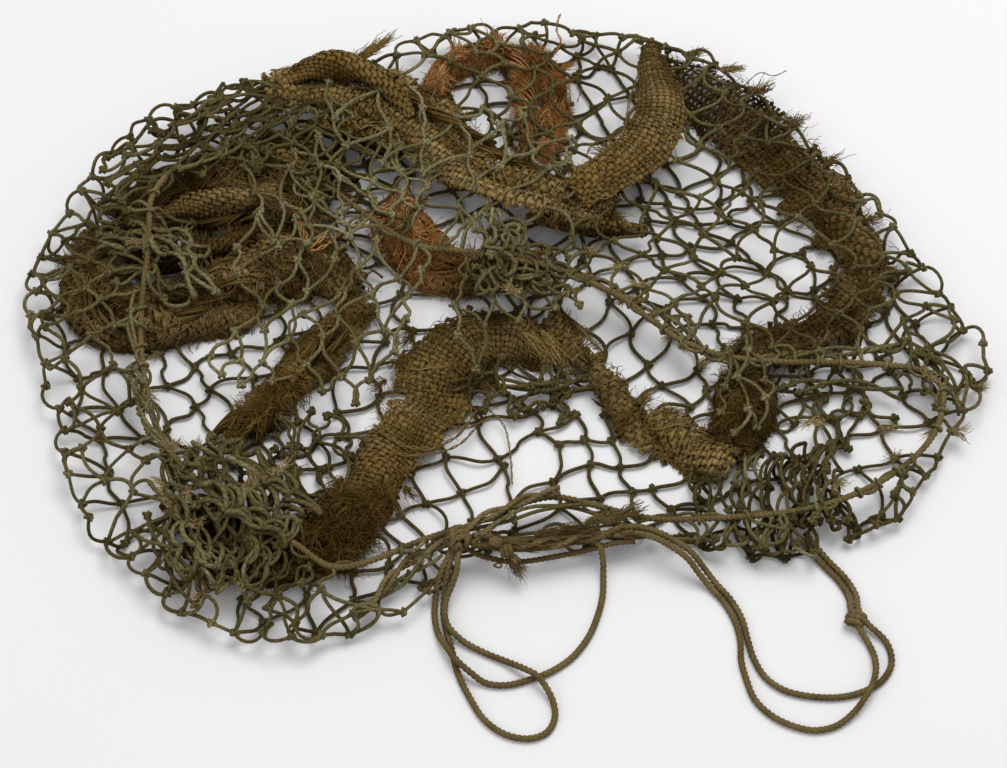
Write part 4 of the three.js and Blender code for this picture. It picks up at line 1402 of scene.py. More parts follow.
@dataclass(frozen=True)
class Coil:
    """Turns of cord wrapped round a line, in mm.

    It holds its middle, the line's direction, the number of turns, their radius level with
    the ground and upright, and the coil's length along the line.
    """

    centre: Place
    along: Place
    turns: float
    level: float
    upright: float
    width: float

    def points(self, count: int = 50) -> Array:
        """Even points on it, from as many as stated on its exact curve."""
        along = unit(np.array(self.along))
        side, over = across_and_over(along)
        share = np.linspace(0, 1, count)
        turn = share * self.turns * TURN
        tuck = 1 - 0.35 * np.abs(2 * share - 1) ** 6
        lean = (self.level * np.cos(turn) * tuck)[:, None] * side
        lean = lean + (self.upright * np.sin(turn) * tuck)[:, None] * over
        path = np.array(self.centre) + ((share - 0.5) * self.width)[:, None] * along + lean
        return even_steps(path * MM, WRAP_STEP)


END_KNOT = Coil((153.5, -162.5, 4.1), (0.25, 1.0, 0.0), 2.6, 3.6, 2.3, 5.6)
BUNDLE = (
    (-14, -130.5, 17.5), (-7, -130.8, 16), (-1, -131, 15.4), (8, -131.5, 15.4),
    (20, -130.5, 15.4), (32, -128, 15.4), (44, -125, 15.4), (53, -123.3, 15.2),
)
# Cords of the bundle: distance from its middle in mm, lag, share where it starts and ends,
# brightness.
BUNDLED = (
    (2.3, 0.0, 0.0, 1.0, 0.75), (2.3, 2.1, 0.0, 0.86, 1.05), (2.2, 4.2, 0.12, 1.0, 0.9),
    (0.6, 1.0, 0.2, 0.8, 0.6),
)
BELOW_BUNDLE = (
    (-19, -131, 15), (-12, -133, 10.5), (-4, -134.6, 8.6), (6, -135.6, 8), (21, -133.8, 8.8),
    (38, -130.4, 10), (50, -128.2, 12), (58, -127.5, 12),
)
FRONT_ROPES = (  # doubled cords that leave the front knot, mm
    (
        (-22, -129, 17), (-32, -133, 14), (-43, -139, 12), (-50, -147, 11), (-57, -157, 9),
        (-66, -163, 6),
    ),
    ((-18, -127, 20), (-9, -120, 19.5), (2, -114, 19), (13, -108, 18), (25, -104, 17)),
)
NUBS = (  # small wraps beside the front knot, each with its brightness
    (Coil((-3.5, -132.5, 19.5), (0.25, 0.8, 0.5), 2.4, 2.1, 2.1, 2.6), 1.2),
    (Coil((1.5, -134.0, 14.5), (0.9, 0.3, 0.2), 2.6, 2.7, 2.7, 5.0), 0.95),
    (Coil((5.0, -136.5, 11.0), (0.5, 0.8, 0.1), 1.8, 2.2, 2.2, 3.0), 1.05),
)
EYE = (-2.6, -137.2, 7.6)  # middle of the small thread eye under them, mm
BUNDLE_FANS = (
    (44, -122, 17, 60, -113, 17, 2.0, 130, 0.85, 0.6), (50, -125, 15, 62, -125, 14, 1.8, 90, 0.7),
    (3, -136, 12, 8, -142, 8, 2.0, 110, 0.95), (36, -122, 18, 50, -117, 18, 1.8, 90, 0.9),
    (14, -128, 18, 30, -124, 18, 1.8, 90, 0.75), (24, -127, 18, 40, -124, 18, 2.0, 90, 0.55),
)


def laid(
    parts: Parts, route: Array, diameter: float = DRAW_CORD / MM, tint: float = 1.0
) -> None:
    """Adds three-strand cord of a diameter in mm along dense points."""
    parts.tubes(route[None], diameter * MM / 2, 12, tint, STRANDS, 1 / LAY)


@dataclass
class DrawCord:
    """The laid draw cord: ring, front knot, whipped bundle and the loose loops."""

    maker: Maker

    def loops(self) -> None:
        """Makes the overhand knot and the free cords, each along its route."""
        parts = Parts()
        laid(parts, END_KNOT.points(60), 2.9)
        tail = parts.build("loop_right_overhand_knot", CORD, "loop_right_knot")
        for cord in LOOSE_CORDS:
            points = cord.points()
            parts = Parts()
            laid(parts, points)
            piece = parts.build(cord.name, CORD, *cord.stands_for)

    def ring(self, route: Array) -> None:
        """Makes the ring that is threaded through the mouth's meshes."""
        parts = Parts()
        laid(parts, even_steps(route, CORD_STEP))
        parts.build("draw_cord_ring", CORD, "draw_cord")

    def knot(self) -> None:
        """Makes the chunky front knot with its wraps and the turn that crosses them."""
        parts = Parts()
        x, y, z = KNOT / MM
        laid(parts, Coil((x, y, z), (0.5, -0.9, 0.0), 3.2, 4.6, 3.6, 8.6).points(90))
        laid(parts, Coil((x, y, z + 0.6), (1.0, 0.35, 0.0), 1.2, 4.2, 3.9, 8.0).points())
        parts.build("draw_cord_front_knot", CORD, "draw_cord_knot")

    def bundle(self) -> None:
        """Makes the cords that lie whipped together along the front rim."""
        parts = Parts()
        line = Line(routed(BUNDLE, CORD_STEP))
        for index, (reach, lag, first, last, tone) in enumerate(BUNDLED):
            turn = line.run / (52 * MM) * TURN + lag
            swing = 1.0 + 0.35 * np.sin(line.run / (8 * MM) + 1.7 * index)
            path = line.points + (reach * MM * swing * np.cos(turn))[:, None] * line.side
            path = path + (reach * 0.7 * MM * np.sin(turn))[:, None] * line.over
            laid(parts, path[int(first * len(path)) : int(last * len(path))], 2.9, tone)
        for rope in FRONT_ROPES:
            core = Line(routed(rope, CORD_STEP))
            out = core.out(core.run / (34 * MM) * TURN)
            for half, tone in ((1.3, 1.15), (-1.3, 1.0)):
                laid(parts, core.points + half * MM * out, 2.6, tone)
        self.felt(parts, line)
        laid(parts, routed(BELOW_BUNDLE, CORD_STEP), 2.6, 0.75)
        for coil, tone in NUBS:
            laid(parts, coil.points(), 2.2, tone)
        turn = np.arange(14) * (TURN / 14)
        eye = np.stack([1.7 * np.cos(turn), 0.3 * np.sin(2 * turn), 1.7 * np.sin(turn)], -1)
        parts.tubes((eye + EYE)[None] * MM, 0.5 * MM, 5, 1.2, closed=True)
        parts.build("draw_cord_whipped_bundle", CORD, "draw_cord_bundle")

    def felt(self, parts: Parts, line: Line) -> None:
        """Adds the matted fibres that the bundle is wrapped in, and its frayed ends."""
        maker = self.maker
        many, last = (60, 1), len(line.points) - 1
        share = np.linspace(0, 1, 8)
        start = maker.uniform(0, last - 29, many)
        spot = np.clip(start + share * maker.uniform(12, 34, many), 0, last).astype(int)
        turn = maker.uniform(-0.6, 3.7, many) + share * maker.normal(0, 0.9, many)
        out = np.cos(turn)[..., None] * line.side[spot]
        out = out + 0.75 * np.sin(turn)[..., None] * line.over[spot]
        reach = maker.uniform(2.6, 4.0, (*many, 1)) * MM
        width = maker.uniform(0.35, 1.1, many) * MM
        tone = maker.uniform(0.45, 0.95, many)
        parts.ribbons(line.points[spot] + out * reach, unit(out), width, 0.25, tone)
        for row in BUNDLE_FANS:
            Fan.of(row).comb(parts, maker)


# --- Scrim ----------------------------------------------------------------------------


class Lies(Enum):
    """What a strip lies on."""

    FLOOR = "the bag's lower layer"
    ON = "on the upper layer"
    BENEATH = "close beneath the upper layer"


@dataclass(frozen=True)
class Strip:
    """One strip of scrim: its lay, its weave and how far it has come apart.

    Rows hold x, y, width, tilt (degrees) and arch of the strip's middle, in mm; foot is its
    height over what it lies on, for all rows or for each. Tidy runs from 0, unravelled, to 1,
    as woven; gaps is the share of missing weave. Casts hold a share of the length and the
    brightness there, or its red, green and blue. Fans are plain rows for Fan.of.
    """

    node: str
    finish: FibreFinish
    rows: tuple[tuple[float, ...], ...]
    lies: Lies = Lies.FLOOR
    foot: tuple[float, ...] = (2.2,)
    pitch: float = 2.5
    yarn: float = 2.35
    thinned: float = 1.0
    tidy: float = 0.8
    gaps: float = 0.0
    fray: float = 3.0
    ragged: float = 0.22
    pleats: float = 1.0
    depth: float = 1.2
    twist: float = 0.3
    crumple: float = 1.0
    hanks: int = 0
    hank_reach: float = 3.0
    rolls: tuple[Roll, ...] = ()
    skeins: tuple[Roll, ...] = ()
    loose: tuple[Roll, ...] = ()
    fans: tuple[tuple[float, ...], ...] = ()
    slivers: int = 0
    hairs: int = 60
    fluff: float = 1.0
    tint: float = 1.0
    casts: tuple[tuple[float, ...], ...] = ((0.0, 1.0),)


STRIPS = (
    Strip("scrim_back_khaki", KHAKI, (
        (-112, 120, 24, 0, 2), (-96, 128, 30, 0, 2), (-70, 124, 33, 2, 2), (-46, 107, 35, 4, 1.5),
        (-22, 87, 36, 4, 1.5), (0, 72, 35, 2, 2), (26, 61, 31, 0, 2), (50, 53, 22, 0, 2),
    ), Lies.BENEATH, foot=(-3.5, -3, -2.5, -2.5, -2.5, -2.5, -3, -3), pleats=2.0, depth=3.2,
        twist=1.0, tidy=0.8, hairs=110, slivers=16, fluff=0.35,
        casts=((0.0, 0.9), (0.15, 1.0), (0.7, 1.0), (0.88, 0.78), (1.0, 0.55)), crumple=1.9,
        ragged=0.3,
        rolls=(
            Roll(5.6, 0.95, (
                (-108, 126, 24), (-92, 134, 27), (-72, 133, 28), (-54, 120, 26), (-44, 106, 22),
            )),
            Roll(4.6, 0.5, ((-104, 96, 17), (-88, 104, 18), (-68, 100, 17), (-50, 88, 14))),
            Roll(4.0, 0.75, (
                (12, 54, 12), (26, 50, 13), (42, 47, 14), (58, 46, 13), (68, 47, 12),
            )),
        ),
        skeins=(
            Roll(1.9, 0.85, ((-52, 122, 26), (-36, 110, 25), (-20, 99, 24), (-6, 90, 23))),
            Roll(1.7, 0.8, ((-10, 88, 23), (4, 80, 22), (20, 71, 21), (38, 60, 19))),
        ),
        fans=(
            (-70, 140, 25, -55, 157, 25, 1.8, 90, 1.3, 0.6),
            (-74, 139, 26, -66, 148, 26, 2.0, 50, 1.2),
            (-28, 106, 22, -21, 112, 22, 3.0, 50, 1.1),
            (46, 55, 17, 58, 48, 15, 2.6, 70, 0.9, 0.6),
            (-46, 118, 22, -40, 124, 22, 2.4, 40, 1.1),
        ),
    ),
    Strip("scrim_back_woven", KHAKI, (
        (72, 152, 8, 0, 0), (73, 138, 15, 0, 1), (76, 118, 23, -6, 1.5), (73, 99, 25, -8, 2),
        (63, 81, 25, -6, 2), (48, 68, 23, -4, 2), (36, 58, 18, -2, 2),
    ), Lies.ON, foot=(1, 1, 1, 1, 1, 1, 0), tidy=0.95, fray=1.2, depth=0.9, hairs=30, fluff=0.35,
        tint=1.05, ragged=0.08, casts=((0.0, 0.5), (0.25, 0.8), (0.45, 1.0)),
        loose=(
            Roll(0.45, 1.2, (
                (66, 136, 22), (61, 118, 21), (58, 100, 21), (50, 86, 21), (36, 78, 20),
                (24, 76, 19),
            )),
            Roll(0.4, 1.0, (
                (62, 104, 21), (55, 96, 21), (44, 92, 21), (40, 84, 20), (50, 80, 20),
            )),
        ),
        fans=((40, 70, 20, 32, 78, 20, 2.4, 70, 0.8), (52, 84, 20, 42, 90, 20, 2.4, 50, 0.75)),
    ),
    Strip("scrim_right_open", DARK, (
        (75, 153, 14, 4, 2), (92, 140, 30, 6, 2), (112, 123, 38, 8, 2), (131, 98, 36, 8, 2),
        (146, 75, 33, 8, 2), (157, 55, 28, 8, 3), (167, 38, 26, 6, 3), (170, 20, 24, 0, 3),
        (162, 4, 23, -6, 3), (146, -8, 22, -8, 3), (127, -15, 20, -8, 3), (110, -20, 16, 0, 3),
    ), pitch=2.6, yarn=2.7, thinned=0.56, tidy=0.75, gaps=0.05, fray=4.5, depth=2.4, twist=0.8,
        hairs=200, slivers=12, crumple=1.8, ragged=0.34, fluff=0.5, tint=0.95,
        casts=(
            (0.0, 0.45, 0.43, 0.4), (0.2, 0.62, 0.6, 0.58), (0.45, 1.0, 1.0, 1.0),
            (0.62, 1.05, 1.05, 1.05), (0.8, 0.8, 0.8, 0.8), (1.0, 0.7, 0.7, 0.7),
        ),
        fans=(
            (106, 141, 17, 117, 143, 16, 1.6, 90, 1.6, 0.5),
            (124, 128, 16, 130, 133, 15, 2.4, 60, 1.2, 0.5),
            (140, 108, 15, 146, 112, 14, 2.6, 50, 1.1), (156, 86, 14, 162, 89, 13, 2.6, 40, 1.1),
            (92, 150, 17, 98, 154, 16, 2.0, 40, 0.9), (172, 52, 12, 179, 55, 10, 2.6, 40, 1.0),
            (178, 24, 12, 186, 20, 10, 2.4, 40, 1.0), (112, -16, 9, 100, -24, 8, 2.6, 50, 0.8),
        ),
        loose=(
            Roll(0.22, 0.5, ((117, 129, 20), (125, 135, 22), (131, 133, 22), (138, 138, 20))),
        ),
    ),
    Strip("scrim_middle_twisted", KHAKI, (
        (22, -4, 15, 10, 2), (31, -13, 14, 25, 2), (38, -25, 11, 45, 2), (45, -38, 12, 50, 2),
        (53, -50, 13, 35, 2), (62, -60, 17, 15, 2), (74, -67, 24, 6, 2), (88, -73, 26, 0, 2),
        (102, -81, 22, 0, 2),
    ), tidy=0.75, hairs=130, slivers=12, fluff=0.6, depth=2.8, twist=2.2, crumple=1.8,
        ragged=0.3, casts=((0.0, 0.75), (0.5, 0.75), (0.65, 1.0)),
        fans=(
            (62, -52, 9, 68, -46, 9, 2.2, 50, 0.9), (36, -14, 9, 30, -20, 8, 2.4, 50, 0.9),
            (58, -58, 9, 50, -62, 7, 2.2, 40, 0.8), (72, -58, 9, 78, -52, 8, 2.0, 36, 0.9),
        ),
    ),
    Strip("scrim_right_lump", KHAKI, (
        (112, -32, 18, 0, 4), (110, -44, 24, 8, 5), (107, -58, 24, 10, 5), (103, -74, 16, 8, 4),
    ), tidy=0.4, fray=4.0, hairs=160, slivers=6, fluff=2.0, tint=0.62, crumple=3.0, pleats=2.0,
        ragged=0.5, depth=3.6, casts=((0.0, 0.7), (0.3, 1.0), (0.55, 0.5), (1.0, 0.8)), hanks=1,
        hank_reach=2.0,
        fans=(
            (112, -40, 12, 112, -45, 14, 5.0, 150, 0.6, 0.5),
            (106, -60, 12, 105, -65, 13, 5.0, 150, 0.5, 0.5),
        ),
        skeins=(
            Roll(2.2, 0.6, ((118, -34, 9), (120, -46, 10), (117, -60, 9), (110, -74, 7))),
            Roll(2.0, 0.45, ((100, -36, 8), (98, -48, 9), (99, -60, 8), (102, -72, 7))),
        ),
    ),
    Strip("scrim_left_woven", KHAKI, (
        (20, -20, 20, 0, 2), (4, -12, 27, -6, 2.5), (-15, -14, 32, -8, 3),
        (-28, -30, 36, -4, 2.5), (-33, -48, 37, 0, 2), (-43, -65, 34, 6, 2.5),
        (-55, -84, 28, 8, 3), (-64, -103, 28, 4, 3), (-76, -119, 32, 0, 3),
        (-92, -130, 32, -4, 3), (-110, -130, 32, 0, 3), (-128, -122, 28, 0, 3),
    ), tidy=0.84, fray=3.4, hairs=170, slivers=12, depth=2.0, crumple=1.6, ragged=0.36,
        fluff=0.4,
        casts=(
            (0.0, 0.72, 0.72, 0.72), (0.2, 0.8, 0.8, 0.8), (0.32, 1.05, 1.05, 1.05),
            (0.5, 1.0, 1.0, 1.0), (0.62, 0.8, 0.72, 0.68), (0.75, 0.5, 0.38, 0.32),
            (1.0, 0.3, 0.26, 0.24),
        ),
        rolls=(
            Roll(6.5, 0.34, (
                (-150, -106, 8), (-138, -116, 10), (-118, -122, 11), (-98, -130, 9),
            )),
            Roll(5.5, 0.36, ((-140, -130, 7), (-122, -138, 9), (-100, -142, 8), (-84, -136, 7))),
        ),
        skeins=(
            Roll(2.2, 0.42, ((-80, -108, 9), (-88, -118, 10), (-92, -130, 9), (-92, -144, 7))),
        ),
        loose=(
            Roll(0.6, 1.6, (
                (-56, -67, 9), (-46, -75, 10), (-32, -77, 10), (-20, -69, 10), (-13, -57, 9),
                (-6, -50, 7),
            )),
            Roll(0.4, 1.4, ((-8, -52, 7), (0, -60, 4), (3, -74, 3), (4, -91, 2.5))),
            Roll(0.5, 1.5, (
                (-62, -74, 9), (-48, -80, 10), (-32, -80, 10), (-20, -74, 9), (-10, -60, 7),
            )),
            Roll(0.45, 1.4, (
                (-46, -56, 10), (-34, -60, 11), (-24, -66, 11), (-14, -64, 9), (-6, -58, 7),
            )),
            Roll(0.45, 1.0, ((-62, -92, 9), (-70, -104, 9), (-68, -118, 9), (-78, -128, 8))),
        ),
        fans=(
            (8, -12, 10, 22, -26, 8, 2.6, 130, 1.2, 0.7),
            (18, -12, 10, 28, -30, 8, 2.4, 90, 1.15, 0.7),
            (-42, -12, 8, -48, -17, 7, 2.4, 50, 0.8), (-44, -24, 8, -52, -30, 6, 2.4, 50, 0.8),
            (-54, -38, 8, -60, -42, 6, 2.4, 44, 0.8), (-72, -92, 8, -80, -98, 6, 2.4, 40, 0.6),
            (-84, -112, 10, -74, -126, 10, 4.0, 60, 0.6, 0.5),
            (-66, -106, 10, -69, -109, 12, 6.0, 240, 0.62, 0.55),
            (-76, -118, 11, -79, -121, 13, 6.5, 280, 0.52, 0.55),
            (-62, -122, 9, -64, -125, 10, 6.0, 240, 0.5, 0.55),
            (-88, -128, 11, -92, -130, 12, 6.5, 240, 0.45, 0.55),
            (-54, -98, 9, -57, -102, 10, 4.5, 120, 0.75, 0.55),
            (-72, -134, 9, -70, -138, 10, 5.5, 200, 0.5, 0.55),
            (-10, -40, 8, -3, -46, 6, 2.2, 40, 0.9), (-44, -96, 8, -38, -104, 6, 2.4, 44, 0.6),
        ),
    ),
    Strip("scrim_left_frayed", KHAKI, (
        (-66, 4, 12, 0, 2), (-78, -9, 16, -8, 3), (-89, -23, 19, -10, 3), (-98, -37, 18, -6, 3),
        (-107, -49, 16, 0, 3), (-117, -60, 16, 6, 2),
    ), tidy=0.4, fray=4.5, hairs=200, slivers=16, fluff=2.0, tint=0.72, crumple=2.0, pleats=1.5,
        depth=2.8, twist=0.8, hanks=2, hank_reach=2.6, ragged=0.4,
        skeins=(
            Roll(2.3, 0.5, ((-112, -52, 8), (-118, -59, 9), (-123, -66, 9), (-127, -72, 7))),
            Roll(2.2, 0.45, ((-108, -53, 8), (-113, -61, 9), (-117, -68, 9), (-120, -75, 7))),
            Roll(2.0, 0.5, ((-104, -50, 8), (-107, -58, 9), (-110, -66, 9), (-112, -72, 7))),
            Roll(2.0, 0.6, ((-114, -52, 7), (-122, -58, 8), (-128, -63, 7), (-132, -68, 5))),
        ),
        loose=(
            Roll(0.7, 1.5, ((-98, -48, 10), (-107, -58, 12), (-116, -68, 11), (-124, -76, 9))),
        ),
        fans=(
            (-112, -58, 11, -114, -61, 12, 4.5, 140, 0.75, 0.5),
            (-120, -68, 10, -122, -71, 11, 3.6, 110, 0.6, 0.5),
            (-104, -48, 12, -106, -51, 13, 4.5, 140, 0.8, 0.5),
            (-82, -26, 9, -75, -32, 8, 2.4, 44, 0.8), (-102, -52, 9, -96, -58, 7, 2.4, 44, 0.7),
            (-96, -16, 9, -103, -20, 7, 2.4, 44, 0.8), (-130, -78, 6, -134, -88, 4, 2.0, 40, 0.5),
        ),
    ),
    Strip("scrim_far_left_low", DARK, (
        (-188, 46, 26, 6, 3), (-195, 22, 30, 12, 3), (-185, 1, 32, 12, 5), (-164, -2, 34, 10, 6),
        (-138, 8, 36, 8, 6), (-114, 21, 38, 6, 6), (-92, 26, 34, 4, 5), (-72, 14, 26, 0, 3),
    ), tidy=0.6, fray=4.0, hairs=220, slivers=20, fluff=0.8, tint=1.05, crumple=2.2, pleats=2.0,
        depth=3.2, twist=1.2, hanks=2, hank_reach=3.2, ragged=0.3,
        rolls=(
            Roll(5.5, 0.5, (
                (-180, 36, 8), (-162, 30, 8), (-138, 36, 9), (-116, 46, 10), (-96, 44, 8),
            )),
            Roll(5.0, 1.15, (
                (-134, 18, 13), (-116, 28, 15), (-98, 34, 15), (-82, 26, 11), (-72, 12, 7),
            )),
        ),
        fans=(
            (-110, 24, 15, -106, 20, 17, 6.0, 200, 1.15, 0.55),
            (-134, 10, 13, -138, 6, 15, 5.5, 170, 0.9, 0.55),
            (-90, 26, 14, -86, 22, 15, 5.5, 160, 1.0, 0.55),
            (-172, 4, 13, -176, 2, 14, 5.5, 160, 0.9, 0.55),
            (-116, 40, 14, -98, 34, 14, 3.0, 90, 1.1), (-74, 16, 8, -64, 8, 6, 3.0, 70, 0.8),
            (-104, 30, 16, -90, 20, 15, 2.6, 70, 1.2),
        ),
    ),
    Strip("scrim_far_left_high", DARK, (
        (-180, 58, 26, 0, 3), (-158, 66, 40, 6, 6), (-134, 72, 48, 8, 8), (-108, 72, 50, 6, 8),
        (-84, 66, 38, 0, 5),
    ), tidy=0.6, fray=5.0, hairs=200, slivers=24, fluff=0.8, tint=0.85, crumple=2.6, pleats=2.5,
        depth=3.8, twist=0.8, hanks=3, hank_reach=3.8, ragged=0.3,
        rolls=(
            Roll(5.5, 1.15, (
                (-166, 52, 13), (-150, 58, 16), (-134, 58, 17), (-118, 62, 17), (-104, 72, 16),
            )),
            Roll(5.0, 1.15, (
                (-150, 82, 15), (-132, 80, 18), (-112, 86, 18), (-94, 80, 16), (-80, 68, 12),
            )),
            Roll(4.5, 0.6, ((-122, 98, 14), (-104, 96, 16), (-86, 88, 15), (-70, 76, 12))),
        ),
        fans=(
            (-128, 68, 19, -124, 64, 21, 6.0, 200, 1.1, 0.55),
            (-108, 80, 19, -104, 76, 21, 6.0, 200, 1.0, 0.55),
            (-148, 68, 17, -152, 72, 18, 5.5, 170, 0.8, 0.55),
            (-96, 64, 17, -92, 60, 18, 5.5, 170, 1.1, 0.55),
            (-116, 62, 20, -100, 54, 19, 2.8, 110, 1.3),
            (-124, 76, 20, -112, 84, 21, 2.8, 90, 1.2), (-98, 52, 18, -88, 42, 17, 2.8, 90, 1.2),
            (-138, 88, 18, -124, 92, 20, 2.6, 70, 0.9),
        ),
    ),
    Strip("scrim_back_rust", RUST, (
        (-33, 122, 9, 0, 2), (-35, 138, 10, 0, 3), (-29, 152, 11, 0, 3), (-17, 160, 12, 0, 3),
        (-2, 162, 12, 0, 3), (11, 159, 12, 0, 3), (22, 150, 12, 0, 3), (26, 135, 11, 0, 3),
        (25, 117, 11, 0, 3), (22, 100, 10, 0, 2),
    ), tidy=0.3, fray=3.0, hairs=260, slivers=24, fluff=2.6, crumple=1.6, depth=1.8, hanks=3,
        hank_reach=2.6, tint=1.15,
        skeins=(
            Roll(5.4, 1.15, (
                (2, 160, 9), (7, 149, 10), (10, 134, 10), (11, 118, 10), (11, 103, 7),
            )),
            Roll(2.6, 1.1, (
                (-30, 128, 12), (-30, 142, 14), (-22, 153, 15), (-8, 158, 15), (4, 156, 15),
            )),
        ),
        loose=(
            Roll(0.45, 1.1, ((24, 148, 18), (28, 156, 21), (26, 163, 22), (28, 174, 21))),
            Roll(0.3, 0.9, ((30, 140, 15), (38, 134, 14), (36, 124, 13))),
        ),
        fans=(
            (-31, 134, 14, -33, 138, 16, 4.0, 140, 1.1, 0.5),
            (-24, 152, 15, -20, 156, 16, 4.0, 140, 1.2, 0.5),
            (-6, 160, 15, -2, 160, 16, 4.0, 140, 1.2, 0.5),
            (14, 156, 14, 18, 154, 15, 4.2, 160, 1.1, 0.5),
            (25, 140, 13, 26, 134, 14, 4.0, 160, 1.0, 0.5),
            (23, 118, 12, 22, 112, 13, 4.0, 160, 1.0, 0.5),
            (10, 140, 14, 10, 134, 15, 4.0, 150, 0.8, 0.5),
            (11, 120, 13, 11, 112, 14, 4.0, 150, 1.0, 0.5),
            (-34, 118, 9, -30, 106, 8, 2.4, 60, 0.8), (10, 106, 10, 11, 92, 9, 3.0, 110, 0.9),
            (22, 102, 9, 19, 88, 8, 2.6, 90, 0.9), (28, 146, 12, 35, 149, 12, 1.8, 40, 0.9),
        ),
    ),
    Strip("scrim_middle_rust", RUST, (
        (-50, 66, 19, 0, 3), (-47, 48, 25, 6, 4), (-38, 33, 24, 8, 4), (-22, 24, 21, 6, 4),
        (-2, 27, 22, 0, 4), (18, 26, 18, 0, 3),
    ), tidy=0.35, fray=3.5, hairs=260, slivers=24, fluff=2.0, crumple=2.0, pleats=1.5, depth=2.6,
        hanks=3, hank_reach=3.0, tint=0.95,
        casts=(
            (0.0, 0.8, 0.8, 0.8), (0.2, 1.1, 1.1, 1.0), (0.42, 1.0, 0.95, 0.9),
            (0.58, 0.42, 0.55, 0.6), (1.0, 0.36, 0.5, 0.55),
        ),
        loose=(
            Roll(0.9, 1.15, (
                (-96, 53, 20), (-95, 42, 21), (-92, 30, 20), (-86, 34, 20), (-79, 43, 20),
            )),
            Roll(0.7, 1.1, (
                (-94, 52, 20), (-93, 40, 21), (-90, 28, 20), (-84, 30, 20), (-76, 40, 18),
            )),
            Roll(0.6, 1.0, ((-97, 50, 20), (-94, 38, 22), (-91, 27, 20))),
            Roll(0.5, 1.0, ((-50, 64, 14), (-54, 50, 16), (-52, 36, 15), (-44, 26, 12))),
        ),
        fans=(
            (-49, 58, 15, -48, 54, 17, 6.0, 240, 1.55, 0.5),
            (-46, 44, 15, -43, 40, 17, 6.0, 240, 1.5, 0.5),
            (-36, 32, 13, -32, 30, 15, 6.0, 220, 1.0, 0.5),
            (-18, 24, 13, -14, 25, 14, 5.5, 180, 0.7, 0.5),
            (8, 28, 13, 12, 27, 14, 5.5, 160, 0.6, 0.5),
            (-46, 60, 13, -44, 44, 15, 3.4, 130, 1.2, 0.6),
            (-50, 46, 14, -46, 32, 14, 3.4, 120, 1.15, 0.6),
            (-56, 50, 12, -60, 38, 10, 2.8, 70, 0.9), (-40, 36, 12, -34, 24, 11, 3.0, 80, 0.9),
        ),
    ),
)


CROWN = 0.14  # rise of a woven yarn's middle as a share of its width
HANK_STEP = 2.6 * MM  # between points on a hank
STRAY_TINT = 0.95  # brightness of slivers and hairs


def halfway(values: Array) -> Array:
    """Means of neighbouring points on each yarn."""
    return (values[:, 1:] + values[:, :-1]) / 2


def rounded_ends(count: int, least: float, power: float) -> Array:
    """Share of the full size at points from end to end of something that tapers off."""
    return np.sin(np.clip(np.linspace(0, 1, count), least, 1 - least) * math.pi) ** power


